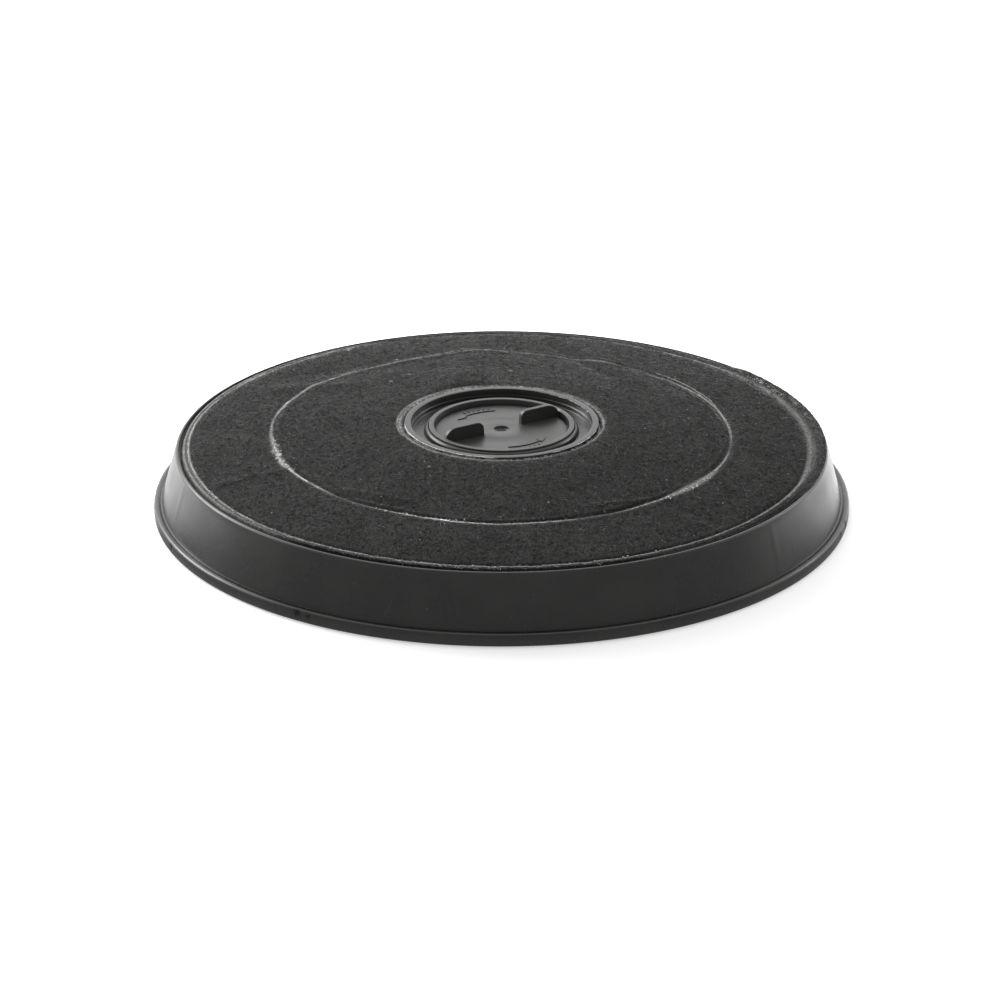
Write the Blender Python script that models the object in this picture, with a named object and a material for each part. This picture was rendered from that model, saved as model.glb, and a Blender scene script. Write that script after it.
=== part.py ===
# Round carbon filter for a cooker hood, lying on its flange with the felt face up.
#
# One moulded housing (tapered wall, flange bead, cell ribs, middle ring and hub) holds sixteen
# charges of carbon granules between two felt discs that are welded to its rings. A turning knob
# sits in the hub: it locks the filter on the motor boss, and it has two finger fins.
#
# Metres, +Z up. The origin is the centre of the flange's underside.

import math

import bmesh
import bpy

# Shared clearances
SEAT_GAP = 0.0003            # between pieces that touch or are welded
RUNNING_GAP = 0.0003         # round the knob's rim
BORE_GAP = 0.0004            # round the knob's barrel
SEGMENTS = 64                # facets round the housing and the felts
KNOB_SEGMENTS = 48
PUFF_STEPS = 4               # facets across the felt between two weld lines
SMOOTH_ANGLE = math.radians(30)       # edges flatter than this are shaded smooth
MERGE_DISTANCE = 1e-7        # for the seam of a turned piece

# Flange bead
FLANGE_RADIUS = 0.1200
FLANGE_REACH = 0.0029        # from the wall's foot to the flange's edge
FLANGE_HEIGHT = 0.0044
FLANGE_EDGE_ROUND = 0.0011   # lower edge of the bead
FLANGE_CREST_ROUND = 0.0013  # upper edge of the bead
FLANGE_GROOVE = 0.0004       # depth of the groove between bead and wall

# Wall and upper rim
WALL_THICKNESS = 0.0018
WALL_LEAN = 0.0052           # how far the wall leans in from foot to rim
RIM_HEIGHT = 0.0222
RIM_CORNER_ROUND = 0.0009
RIM_LIP = 0.0012             # width of the lip that stands round the felt
RIM_LAND = 0.0035            # width of the ring that the felt is welded to
PLATE_THICKNESS = 0.0016     # of the rim's land and the hub's plates

# Dome of the felt face
FELT_THICKNESS = 0.0014
FELT_PROUD = 0.0002          # how far the felt's edge stands above the lip
FELT_EDGE_TO_WELD = 0.0019   # from the felt's outer edge to the outer weld line
FELT_PUFF = 0.0005           # how far the felt swells between its weld lines
WELD_WIDTH = 0.0014
WELD_DEPTH = 0.0004
OUTER_RISE = 0.0026          # rim to middle ring
INNER_RISE = 0.0042          # middle ring to hub

# Middle ring and cells
MIDDLE_RING_SHARE = 0.5667   # where the ring stands on the way from the hub to the felt's edge
MIDDLE_CROWN_WIDTH = 0.0024
CELL_COUNT = 8
CELL_COLUMNS = 8             # facets along one cell's arc
RIB_THICKNESS = 0.0020
RIB_TOP_GAP = 0.0010         # from the ribs to the felt above
CROWN_SHOULDER = 0.0006      # the walls stand out this far beside their welded crowns
WALL_FOOT_HEIGHT = 0.0034    # underside of the rings that the back felt is welded to

# Hub
HUB_BAND_WIDTH = 0.0022      # bare plastic ring inside the felt
HUB_BAND_RISE = 0.0004       # how far it stands above the felt beside it
HUB_WELD_LAND = 0.0043       # width of the ring under the felt's inner edge
HUB_TUBE_THICKNESS = 0.0022
CHANNEL_WIDTH = 0.0050
CHANNEL_DEPTH = 0.0038
LEDGE_WIDTH = 0.0004
LEDGE_DEPTH = 0.0023
COLLAR_WIDTH = 0.0008
COLLAR_DROP = 0.0005         # from the knob's rim to the collar's top
COLLAR_CHAMFER = 0.0003

# Knob
KNOB_RADIUS = 0.0251
KNOB_DROP = 0.0009           # from the hub band to the knob's rim
KNOB_RIM_WIDTH = 0.0018
CUP_DEPTH = 0.0019
CUP_DRAFT = 0.0010           # how far the cup's inner wall leans in towards its floor
CUP_FLOOR_THICKNESS = 0.0018
KNOB_BASE_DROP = 0.0005      # from the floor's underside to the face that turns on the seat
EDGE_BREAK = 0.0002
DISC_RADIUS = 0.0090         # slightly raised disc in the middle of the floor
DISC_RISE = 0.0001
DIMPLE_RADIUS = 0.0026
DIMPLE_DEPTH = 0.0012
DIMPLE_BOSS_RADIUS = 0.0045
DIMPLE_BOSS_RISE = 0.0008
BARREL_RADIUS = 0.0209
BARREL_THICKNESS = 0.0019
BARREL_FOOT_HEIGHT = 0.0080

# Finger fins
FIN_ANGLE = math.radians(31.8)
FIN_OFFSET = 0.0006          # from the knob's centre line to the middle of the fin
FIN_THICKNESS = 0.0018
FIN_START = 0.0079           # along the fin, from the knob's centre
FIN_HEIGHT = 0.0048
FIN_INNER_ROUND = 0.0027
FIN_OUTER_ROUND = 0.0050
FIN_EDGE_ROUND = 0.0004
FIN_CORNER_ANGLE = math.radians(60)   # edges sharper than this are rounded

# Turning arrows on the cup's floor
ARROW_RADIUS = 0.0172
ARROW_WIDTH = 0.0005
ARROW_HEIGHT = 0.0003
ARROW_START = math.radians(97.5)
ARROW_NECK = math.radians(139.0)
ARROW_TIP = math.radians(152.0)
ARROW_HEAD_WIDTH = 0.0026
ARROW_STEPS = 6

# Snap hooks, stops and bayonet lugs
HOOK_COUNT = 4
HOOK_ANGLE = math.radians(18.0)
HOOK_ENGAGEMENT = 0.0011     # beyond the bore that the hook snaps through
HOOK_HEIGHT = 0.0013
HOOK_RAMP = 0.0032
STOP_ANGLE = math.radians(10.0)
STOP_WIDTH = 0.0026
STOP_HEIGHT = 0.0020
STOP_REST_ANGLE = math.radians(1.0)   # between a hook at rest and its stop
HOOK_FIRST_ANGLE = math.radians(45.0)
LUG_COUNT = 2
LUG_ANGLE = math.radians(30.0)
LUG_REACH = 0.0026
LUG_HEIGHT = 0.0025
LUG_LIFT = 0.0004            # from the barrel's end to the lug
EMBED = 0.0005               # how deep a raised detail is rooted in what carries it
CUT_OVERSHOOT = 0.0028       # how far a cutter runs past the faces that it opens

# Worked out from the sizes above
FOOT_RADIUS = FLANGE_RADIUS - FLANGE_REACH
TOP_RADIUS = FOOT_RADIUS - WALL_LEAN
WALL_RISE = RIM_HEIGHT - FLANGE_HEIGHT
LIP_RADIUS = TOP_RADIUS - RIM_LIP
LAND_RADIUS = LIP_RADIUS - RIM_LAND
FELT_RADIUS = LIP_RADIUS - SEAT_GAP
OUTER_WELD_RADIUS = FELT_RADIUS - FELT_EDGE_TO_WELD
SEAT_RADIUS = KNOB_RADIUS + RUNNING_GAP
COLLAR_RADIUS = SEAT_RADIUS + COLLAR_WIDTH
RECESS_RADIUS = COLLAR_RADIUS + CHANNEL_WIDTH
BAND_RADIUS = RECESS_RADIUS + HUB_BAND_WIDTH
HUB_RADIUS = BAND_RADIUS + HUB_WELD_LAND
MIDDLE_RING_RADIUS = HUB_RADIUS + MIDDLE_RING_SHARE * (FELT_RADIUS - HUB_RADIUS)
FELT_HOLE_RADIUS = BAND_RADIUS + SEAT_GAP
FELT_RIM_HEIGHT = RIM_HEIGHT + FELT_PROUD
MIDDLE_HEIGHT = FELT_RIM_HEIGHT + OUTER_RISE
HUB_FELT_HEIGHT = MIDDLE_HEIGHT + INNER_RISE
BAND_HEIGHT = HUB_FELT_HEIGHT + HUB_BAND_RISE
KNOB_RIM_HEIGHT = BAND_HEIGHT - KNOB_DROP
CUP_FLOOR_HEIGHT = KNOB_RIM_HEIGHT - CUP_DEPTH
KNOB_BASE_HEIGHT = CUP_FLOOR_HEIGHT - CUP_FLOOR_THICKNESS - KNOB_BASE_DROP
SEAT_HEIGHT = KNOB_BASE_HEIGHT - SEAT_GAP
SEAT_UNDERSIDE = SEAT_HEIGHT - PLATE_THICKNESS
BORE_RADIUS = BARREL_RADIUS + BORE_GAP
CHANNEL_HEIGHT = BAND_HEIGHT - CHANNEL_DEPTH
HOOK_RADIUS = BORE_RADIUS + HOOK_ENGAGEMENT
CELL_ANGLE = 2 * math.pi / CELL_COUNT
BACK_FELT_TOP = WALL_FOOT_HEIGHT - SEAT_GAP


def clear_scene():
    for obj in list(bpy.data.objects):
        bpy.data.objects.remove(obj, do_unlink=True)


def make_material(name, colour, roughness):
    material = bpy.data.materials.new(name)
    material.use_nodes = True
    shader = material.node_tree.nodes["Principled BSDF"]
    shader.inputs["Base Color"].default_value = (*colour, 1.0)
    shader.inputs["Roughness"].default_value = roughness
    shader.inputs["Metallic"].default_value = 0.0
    return material


def finish_mesh(name, bm, material):
    """Turns a bmesh into an object with outward normals and smooth round faces."""
    bmesh.ops.recalc_face_normals(bm, faces=bm.faces)
    mesh = bpy.data.meshes.new(name)
    bm.to_mesh(mesh)
    bm.free()
    mesh.shade_smooth()
    mesh.set_sharp_from_angle(angle=SMOOTH_ANGLE)
    if material:
        mesh.materials.append(material)
    obj = bpy.data.objects.new(name, mesh)
    bpy.context.scene.collection.objects.link(obj)
    return obj


def arc(centre_r, centre_z, radius, start, end, steps):
    """Points of an arc in the section plane, with angles in degrees from the +R direction."""
    angles = [math.radians(start + (end - start) * i / steps) for i in range(steps + 1)]
    return [(centre_r + radius * math.cos(a), centre_z + radius * math.sin(a)) for a in angles]


def lathe(name, profile, material, segments):
    """Turns a closed section, given as (radius, height) points, about the Z axis."""
    bm = bmesh.new()
    points = [bm.verts.new((r, 0.0, z)) for r, z in profile]
    edges = [bm.edges.new((points[i - 1], points[i])) for i in range(len(points))]
    bmesh.ops.spin(
        bm,
        geom=points + edges,
        cent=(0, 0, 0),
        axis=(0, 0, 1),
        angle=2 * math.pi,
        steps=segments,
        use_merge=True,
    )
    bmesh.ops.remove_doubles(bm, verts=bm.verts, dist=MERGE_DISTANCE)
    return finish_mesh(name, bm, material)


def add_sector(bm, profile, start, end, columns, side_inset=0.0):
    """Adds a closed piece of a turned ring between two angles.

    With side_inset, both ends stay parallel to the radial lines at start and end, that far inside.
    """
    rings = []
    for column in range(columns + 1):
        share = column / columns
        ring = []
        for r, z in profile:
            trim = math.asin(side_inset / r)
            angle = start + trim + (end - start - 2 * trim) * share
            ring.append(bm.verts.new((r * math.cos(angle), r * math.sin(angle), z)))
        rings.append(ring)
    count = len(profile)
    for near, far in zip(rings, rings[1:]):
        for i in range(count):
            j = (i + 1) % count
            bm.faces.new((near[i], near[j], far[j], far[i]))
    bm.faces.new(reversed(rings[0]))
    bm.faces.new(rings[-1])


def add_prism(bm, outline, low, high):
    """Adds a closed upright prism on an outline of (x, y) points."""
    bottom = [bm.verts.new((x, y, low)) for x, y in outline]
    top = [bm.verts.new((x, y, high)) for x, y in outline]
    count = len(outline)
    for i in range(count):
        j = (i + 1) % count
        bm.faces.new((bottom[i], bottom[j], top[j], top[i]))
    bm.faces.new(reversed(bottom))
    bm.faces.new(top)


def helper(name, bm):
    """A cutter or an added detail, which is left out of renders."""
    obj = finish_mesh(name, bm, None)
    obj.hide_render = True
    obj.display_type = "WIRE"
    return obj


def combine(obj, other, operation):
    modifier = obj.modifiers.new(other.name, "BOOLEAN")
    modifier.object = other
    modifier.operation = operation
    modifier.solver = "EXACT"


def felt_line(r):
    """Height of the felt's upper face on the straight lines from rim to middle ring to hub."""
    if r >= MIDDLE_RING_RADIUS:
        share = (FELT_RADIUS - r) / (FELT_RADIUS - MIDDLE_RING_RADIUS)
        return FELT_RIM_HEIGHT + OUTER_RISE * share
    share = (MIDDLE_RING_RADIUS - r) / (MIDDLE_RING_RADIUS - HUB_RADIUS)
    return MIDDLE_HEIGHT + INNER_RISE * min(share, 1.0)


def felt_underside(r):
    return felt_line(r) - FELT_THICKNESS


def land_height(r):
    """Top of the plastic that the felt is welded to."""
    return felt_underside(r) - SEAT_GAP


def rib_height(r):
    return felt_underside(r) - RIB_TOP_GAP


def wall_radius(z):
    """Outer face of the tapered wall at height z."""
    return FOOT_RADIUS - WALL_LEAN * (z - FLANGE_HEIGHT) / WALL_RISE


def flange_profile():
    """From the flange's inner lower edge, round the bead, to the wall's foot."""
    edge_centre = FLANGE_RADIUS - FLANGE_EDGE_ROUND
    crest_centre = FLANGE_RADIUS - FLANGE_CREST_ROUND
    crest_height = FLANGE_HEIGHT - FLANGE_CREST_ROUND
    groove_radius = (crest_centre + FOOT_RADIUS) / 2 - FLANGE_GROOVE
    points = [(FOOT_RADIUS, 0.0)]
    points += arc(edge_centre, FLANGE_EDGE_ROUND, FLANGE_EDGE_ROUND, -90, 0, 3)
    points += arc(crest_centre, crest_height, FLANGE_CREST_ROUND, 0, 90, 3)
    points.append((groove_radius, FLANGE_HEIGHT - FLANGE_GROOVE))
    points.append((FOOT_RADIUS, FLANGE_HEIGHT))
    return points


def rim_profile():
    """From the top of the wall, over the lip, to the land under the felt's outer edge."""
    corner_height = RIM_HEIGHT - RIM_CORNER_ROUND
    corner_centre = wall_radius(corner_height) - RIM_CORNER_ROUND
    points = arc(corner_centre, corner_height, RIM_CORNER_ROUND, 10, 90, 3)
    points.append((LIP_RADIUS, RIM_HEIGHT))
    points.append((LIP_RADIUS, land_height(LIP_RADIUS)))
    points.append((LAND_RADIUS, land_height(LAND_RADIUS)))
    points.append((LAND_RADIUS, rib_height(LAND_RADIUS)))
    return points


def middle_profile():
    """The crown of the middle ring, which the felt is welded to."""
    outer = MIDDLE_RING_RADIUS + MIDDLE_CROWN_WIDTH / 2
    inner = MIDDLE_RING_RADIUS - MIDDLE_CROWN_WIDTH / 2
    return [
        (outer, rib_height(outer)),
        (outer, land_height(outer)),
        (inner, land_height(inner)),
        (inner, rib_height(inner)),
    ]


def hub_profile():
    """From the felt's inner weld land, over the band and the channel, to the hub's underside."""
    land = land_height(HUB_RADIUS)
    ledge_radius = RECESS_RADIUS - LEDGE_WIDTH
    ledge_height = BAND_HEIGHT - LEDGE_DEPTH
    collar_height = KNOB_RIM_HEIGHT - COLLAR_DROP
    under_channel = CHANNEL_HEIGHT - PLATE_THICKNESS
    return [
        (HUB_RADIUS, rib_height(HUB_RADIUS)),
        (HUB_RADIUS, land),
        (BAND_RADIUS, land),
        (BAND_RADIUS, BAND_HEIGHT - EDGE_BREAK),
        (BAND_RADIUS - EDGE_BREAK, BAND_HEIGHT),
        (RECESS_RADIUS + EDGE_BREAK, BAND_HEIGHT),
        (RECESS_RADIUS, BAND_HEIGHT - EDGE_BREAK),
        (RECESS_RADIUS, ledge_height),
        (ledge_radius, ledge_height),
        (ledge_radius, CHANNEL_HEIGHT),
        (COLLAR_RADIUS + COLLAR_CHAMFER, CHANNEL_HEIGHT),
        (COLLAR_RADIUS, CHANNEL_HEIGHT + COLLAR_CHAMFER),
        (COLLAR_RADIUS, collar_height - COLLAR_CHAMFER),
        (COLLAR_RADIUS - COLLAR_CHAMFER, collar_height),
        (SEAT_RADIUS, collar_height),
        (SEAT_RADIUS, SEAT_HEIGHT),
        (BORE_RADIUS, SEAT_HEIGHT),
        (BORE_RADIUS, SEAT_UNDERSIDE),
        (COLLAR_RADIUS, SEAT_UNDERSIDE),
        (COLLAR_RADIUS + COLLAR_CHAMFER, under_channel),
        (RECESS_RADIUS, under_channel),
        (BAND_RADIUS, land - PLATE_THICKNESS),
        (HUB_RADIUS - HUB_TUBE_THICKNESS, land - PLATE_THICKNESS),
        (HUB_RADIUS - HUB_TUBE_THICKNESS, WALL_FOOT_HEIGHT),
        (FOOT_RADIUS, WALL_FOOT_HEIGHT),
    ]


def outer_cell_profile(inset, low, lift):
    """Section of the space between middle ring and wall, drawn in by inset.

    Its lower face is at low, and its upper face is lift above the felt's underside.
    """
    inner = MIDDLE_RING_RADIUS + MIDDLE_CROWN_WIDTH / 2 + CROWN_SHOULDER + inset
    mouth = LAND_RADIUS - CROWN_SHOULDER - inset
    under_land = land_height(LAND_RADIUS) - PLATE_THICKNESS - inset
    return [
        (inner, low),
        (wall_radius(low) - WALL_THICKNESS - inset, low),
        (wall_radius(under_land) - WALL_THICKNESS - inset, under_land),
        (mouth, under_land),
        (mouth, felt_underside(mouth) + lift),
        (inner, felt_underside(inner) + lift),
    ]


def inner_cell_profile(inset, low, lift):
    """Section of the space between hub and middle ring, in the same terms."""
    inner = HUB_RADIUS + CROWN_SHOULDER + inset
    outer = MIDDLE_RING_RADIUS - MIDDLE_CROWN_WIDTH / 2 - CROWN_SHOULDER - inset
    return [
        (inner, low),
        (outer, low),
        (outer, felt_underside(outer) + lift),
        (inner, felt_underside(inner) + lift),
    ]


def make_housing(material):
    profile = flange_profile() + rim_profile() + middle_profile() + hub_profile()
    housing = lathe("housing", profile, material, SEGMENTS)

    low = WALL_FOOT_HEIGHT - CUT_OVERSHOOT
    cells = bmesh.new()
    for cell_profile in (outer_cell_profile, inner_cell_profile):
        for i in range(CELL_COUNT):
            add_sector(
                cells,
                cell_profile(0.0, low, CUT_OVERSHOOT),
                i * CELL_ANGLE,
                (i + 1) * CELL_ANGLE,
                CELL_COLUMNS,
                RIB_THICKNESS / 2,
            )
    combine(housing, helper("cell_cutter", cells), "DIFFERENCE")

    inner = BORE_RADIUS + EMBED
    low = SEAT_UNDERSIDE - STOP_HEIGHT
    high = SEAT_UNDERSIDE + EMBED
    section = [(inner, low), (inner + STOP_WIDTH, low), (inner + STOP_WIDTH, high), (inner, high)]
    stops = bmesh.new()
    for i in range(HOOK_COUNT):
        end = HOOK_FIRST_ANGLE - HOOK_ANGLE / 2 - STOP_REST_ANGLE + 2 * math.pi * i / HOOK_COUNT
        add_sector(stops, section, end - STOP_ANGLE, end, 2)
    combine(housing, helper("knob_stops", stops), "UNION")
    return housing


def swollen(r_outer, r_inner):
    """Upper face of the felt between two weld lines, crowned by FELT_PUFF."""
    points = []
    for i in range(PUFF_STEPS + 1):
        share = i / PUFF_STEPS
        r = r_outer + (r_inner - r_outer) * share
        rise = FELT_PUFF * (1 - (2 * share - 1) ** 4)
        points.append((r, felt_line(r) + rise))
    return points


def weld_line(r):
    """Pressed bottom of a weld line."""
    return [(r, felt_line(r) - WELD_DEPTH)]


def make_front_felt(material):
    half = WELD_WIDTH / 2
    profile = [(FELT_RADIUS, felt_line(FELT_RADIUS))]
    profile.append((OUTER_WELD_RADIUS + half, felt_line(OUTER_WELD_RADIUS + half)))
    profile += weld_line(OUTER_WELD_RADIUS)
    profile += swollen(OUTER_WELD_RADIUS - half, MIDDLE_RING_RADIUS + half)
    profile += weld_line(MIDDLE_RING_RADIUS)
    profile += swollen(MIDDLE_RING_RADIUS - half, HUB_RADIUS - half)
    profile.append((FELT_HOLE_RADIUS, HUB_FELT_HEIGHT - WELD_DEPTH))
    profile.append((FELT_HOLE_RADIUS, felt_underside(HUB_RADIUS)))
    profile.append((HUB_RADIUS, felt_underside(HUB_RADIUS)))
    profile.append((MIDDLE_RING_RADIUS, felt_underside(MIDDLE_RING_RADIUS)))
    profile.append((FELT_RADIUS, felt_underside(FELT_RADIUS)))
    return lathe("front_felt", profile, material, SEGMENTS)


def make_back_felt(material):
    outer = FOOT_RADIUS - SEAT_GAP
    inner = HUB_RADIUS - HUB_TUBE_THICKNESS
    low = BACK_FELT_TOP - FELT_THICKNESS
    half = WELD_WIDTH / 2
    profile = [
        (outer, BACK_FELT_TOP),
        (outer, low + WELD_DEPTH),
        (outer - WALL_THICKNESS, low),
        (MIDDLE_RING_RADIUS + half, low),
        (MIDDLE_RING_RADIUS, low + WELD_DEPTH),
        (MIDDLE_RING_RADIUS - half, low),
        (HUB_RADIUS, low),
        (inner, low + WELD_DEPTH),
        (inner, BACK_FELT_TOP),
    ]
    return lathe("back_felt", profile, material, SEGMENTS)


def make_carbon(material):
    side = RIB_THICKNESS / 2 + SEAT_GAP
    for name, cell_profile in (("outer", outer_cell_profile), ("inner", inner_cell_profile)):
        bm = bmesh.new()
        section = cell_profile(SEAT_GAP, WALL_FOOT_HEIGHT, -SEAT_GAP)
        add_sector(bm, section, 0.0, CELL_ANGLE, CELL_COLUMNS, side)
        first = finish_mesh(f"carbon_{name}_1", bm, material)
        for i in range(1, CELL_COUNT):
            charge = bpy.data.objects.new(f"carbon_{name}_{i + 1}", first.data)
            charge.rotation_euler.z = i * CELL_ANGLE
            bpy.context.scene.collection.objects.link(charge)


def knob_profile():
    """Cup, rim and barrel of the knob, from the middle of the dimple round to the axis again."""
    floor = CUP_FLOOR_HEIGHT
    disc = floor + DISC_RISE
    rim_inner = KNOB_RADIUS - KNOB_RIM_WIDTH
    under_floor = floor - CUP_FLOOR_THICKNESS
    barrel_inner = BARREL_RADIUS - BARREL_THICKNESS
    foot = BARREL_FOOT_HEIGHT
    return [
        (0.0, disc - DIMPLE_DEPTH),
        (DIMPLE_RADIUS, disc - DIMPLE_DEPTH),
        (DIMPLE_RADIUS, disc),
        (DISC_RADIUS, disc),
        (DISC_RADIUS + EDGE_BREAK, floor),
        (rim_inner - CUP_DRAFT, floor),
        (rim_inner, KNOB_RIM_HEIGHT - EDGE_BREAK),
        (rim_inner + EDGE_BREAK, KNOB_RIM_HEIGHT),
        (KNOB_RADIUS - EDGE_BREAK, KNOB_RIM_HEIGHT),
        (KNOB_RADIUS, KNOB_RIM_HEIGHT - EDGE_BREAK),
        (KNOB_RADIUS, KNOB_BASE_HEIGHT),
        (BARREL_RADIUS, KNOB_BASE_HEIGHT),
        (BARREL_RADIUS, foot + EDGE_BREAK),
        (BARREL_RADIUS - EDGE_BREAK, foot),
        (barrel_inner, foot),
        (barrel_inner, under_floor),
        (DIMPLE_BOSS_RADIUS, under_floor),
        (DIMPLE_BOSS_RADIUS, under_floor - DIMPLE_BOSS_RISE),
        (0.0, under_floor - DIMPLE_BOSS_RISE),
    ]


def fin_outline():
    """Side view of a finger fin: distance along it from the knob's centre, and height."""
    top = CUP_FLOOR_HEIGHT + FIN_HEIGHT
    root = CUP_FLOOR_HEIGHT - EMBED
    rim_inner = KNOB_RADIUS - KNOB_RIM_WIDTH
    end = math.sqrt(rim_inner**2 - FIN_OFFSET**2) + EDGE_BREAK
    points = [(end, root), (end, CUP_FLOOR_HEIGHT + CUP_DEPTH - EDGE_BREAK)]
    points += arc(end - FIN_OUTER_ROUND, top - FIN_OUTER_ROUND, FIN_OUTER_ROUND, 25, 90, 4)
    points += arc(FIN_START + FIN_INNER_ROUND, top - FIN_INNER_ROUND, FIN_INNER_ROUND, 90, 180, 4)
    points.append((FIN_START, root))
    return points


def make_fins():
    bm = bmesh.new()
    outline = fin_outline()
    count = len(outline)
    half = FIN_THICKNESS / 2
    for turn in (FIN_ANGLE, FIN_ANGLE + math.pi):
        along = (math.cos(turn), math.sin(turn))
        across = (-math.sin(turn), math.cos(turn))
        sides = []
        for offset in (FIN_OFFSET - half, FIN_OFFSET + half):
            side = []
            for u, z in outline:
                x = u * along[0] + offset * across[0]
                y = u * along[1] + offset * across[1]
                side.append(bm.verts.new((x, y, z)))
            sides.append(side)
        near, far = sides
        for i in range(count):
            j = (i + 1) % count
            bm.faces.new((near[i], near[j], far[j], far[i]))
        bm.faces.new(reversed(near))
        bm.faces.new(far)
    bmesh.ops.recalc_face_normals(bm, faces=bm.faces)
    root = CUP_FLOOR_HEIGHT - EMBED
    edges = [
        edge
        for edge in bm.edges
        if edge.calc_face_angle() > FIN_CORNER_ANGLE and min(v.co.z for v in edge.verts) > root + EDGE_BREAK
    ]
    bmesh.ops.bevel(
        bm, geom=edges, offset=FIN_EDGE_ROUND, segments=2, profile=0.5, affect="EDGES", clamp_overlap=True
    )
    return helper("knob_fins", bm)


def make_arrows():
    """Two curved arrows that point the way the knob turns to open."""
    low = CUP_FLOOR_HEIGHT - EMBED
    high = CUP_FLOOR_HEIGHT + ARROW_HEIGHT
    bm = bmesh.new()
    for turn in (0.0, math.pi):
        outline = []
        for side in (1, -1):
            edge = ARROW_RADIUS + side * ARROW_WIDTH / 2
            steps = range(ARROW_STEPS + 1) if side > 0 else range(ARROW_STEPS, -1, -1)
            for i in steps:
                angle = turn + ARROW_START + (ARROW_NECK - ARROW_START) * i / ARROW_STEPS
                outline.append((edge * math.cos(angle), edge * math.sin(angle)))
            if side > 0:
                head = [(ARROW_HEAD_WIDTH / 2, ARROW_NECK), (0.0, ARROW_TIP), (-ARROW_HEAD_WIDTH / 2, ARROW_NECK)]
                for reach, angle in head:
                    r = ARROW_RADIUS + reach
                    outline.append((r * math.cos(turn + angle), r * math.sin(turn + angle)))
        add_prism(bm, outline, low, high)
    return helper("knob_arrows", bm)


def make_hooks():
    """Snap hooks on the barrel, which run under the hub's seat."""
    root = BARREL_RADIUS - EMBED
    top = SEAT_UNDERSIDE - SEAT_GAP
    shoulder = top - HOOK_HEIGHT
    section = [(root, shoulder - HOOK_RAMP), (HOOK_RADIUS, shoulder), (HOOK_RADIUS, top), (root, top)]
    bm = bmesh.new()
    for i in range(HOOK_COUNT):
        middle = HOOK_FIRST_ANGLE + 2 * math.pi * i / HOOK_COUNT
        add_sector(bm, section, middle - HOOK_ANGLE / 2, middle + HOOK_ANGLE / 2, 3)
    return helper("knob_hooks", bm)


def make_lugs():
    """Bayonet lugs inside the barrel, which turn under the pins of the motor boss."""
    outer = BARREL_RADIUS - BARREL_THICKNESS + EMBED
    inner = outer - EMBED - LUG_REACH
    low = BARREL_FOOT_HEIGHT + LUG_LIFT
    section = [(inner, low), (outer, low), (outer, low + LUG_HEIGHT), (inner, low + LUG_HEIGHT)]
    bm = bmesh.new()
    for i in range(LUG_COUNT):
        middle = 2 * math.pi * i / LUG_COUNT
        add_sector(bm, section, middle - LUG_ANGLE / 2, middle + LUG_ANGLE / 2, 4)
    return helper("knob_lugs", bm)


def make_knob(material):
    knob = lathe("turn_knob", knob_profile(), material, KNOB_SEGMENTS)
    for detail in (make_fins(), make_arrows(), make_hooks(), make_lugs()):
        combine(knob, detail, "UNION")
    return knob


def main():
    clear_scene()
    housing_plastic = make_material("black_housing_plastic", (0.012, 0.012, 0.012), 0.35)
    knob_plastic = make_material("black_knob_plastic", (0.020, 0.020, 0.019), 0.45)
    front_cloth = make_material("charcoal_felt", (0.026, 0.026, 0.025), 0.95)
    back_cloth = make_material("charcoal_back_felt", (0.026, 0.026, 0.025), 0.95)
    granules = make_material("carbon_granules", (0.006, 0.006, 0.006), 0.80)
    make_housing(housing_plastic)
    make_front_felt(front_cloth)
    make_back_felt(back_cloth)
    make_carbon(granules)
    make_knob(knob_plastic)


main()
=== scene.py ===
# A round carbon filter for a cooker hood, lying on its flange with the felt face up.
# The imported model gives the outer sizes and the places. The dictionaries hold the inner sizes, which
# follow its solids, and what only the finish has. Sizes in them are millimetres, angles are degrees
# counterclockwise from the right-hand side (+X), seen from above.
import math

import bmesh
import bpy
import numpy as np
from mathutils import Euler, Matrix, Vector, noise


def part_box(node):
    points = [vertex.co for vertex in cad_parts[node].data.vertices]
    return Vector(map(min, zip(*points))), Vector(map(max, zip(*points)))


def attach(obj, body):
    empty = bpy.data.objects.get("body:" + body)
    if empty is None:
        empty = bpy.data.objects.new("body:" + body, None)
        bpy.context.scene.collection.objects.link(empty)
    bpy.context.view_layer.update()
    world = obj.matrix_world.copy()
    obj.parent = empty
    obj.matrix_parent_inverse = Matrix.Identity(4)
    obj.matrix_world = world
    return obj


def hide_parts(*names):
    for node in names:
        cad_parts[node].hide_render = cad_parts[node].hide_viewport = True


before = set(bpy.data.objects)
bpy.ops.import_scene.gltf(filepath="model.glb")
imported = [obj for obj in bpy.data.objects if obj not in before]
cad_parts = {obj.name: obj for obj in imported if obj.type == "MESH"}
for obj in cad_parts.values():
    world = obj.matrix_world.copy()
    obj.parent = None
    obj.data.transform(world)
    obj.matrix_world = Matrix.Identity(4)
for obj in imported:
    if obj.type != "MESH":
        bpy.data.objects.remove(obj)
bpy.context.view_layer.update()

mm = 0.001
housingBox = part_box("housing")
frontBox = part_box("front_felt")
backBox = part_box("back_felt")
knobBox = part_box("turn_knob")

# What the pieces share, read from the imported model
flangeRadius = housingBox[1].x / mm
bandTop = housingBox[1].z / mm           # bare ring of the hub, the housing's highest face
feltRadius = frontBox[1].x / mm
knobRadius = knobBox[1].x / mm
finTop = knobBox[1].z / mm
knobFoot = knobBox[0].z / mm

dome = {                                 # the felt face, from the rim up to the hub
    "edgeHeight": 22.4,
    "middleRadius": 78.9,                # of the weld on the middle ring
    "middleHeight": 25.0,
    "hubRadius": 37.7,                   # of the weld round the hub
    "hubHeight": 29.2,
    "holeRadius": 33.7,
    "thickness": 1.4,
}


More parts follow.
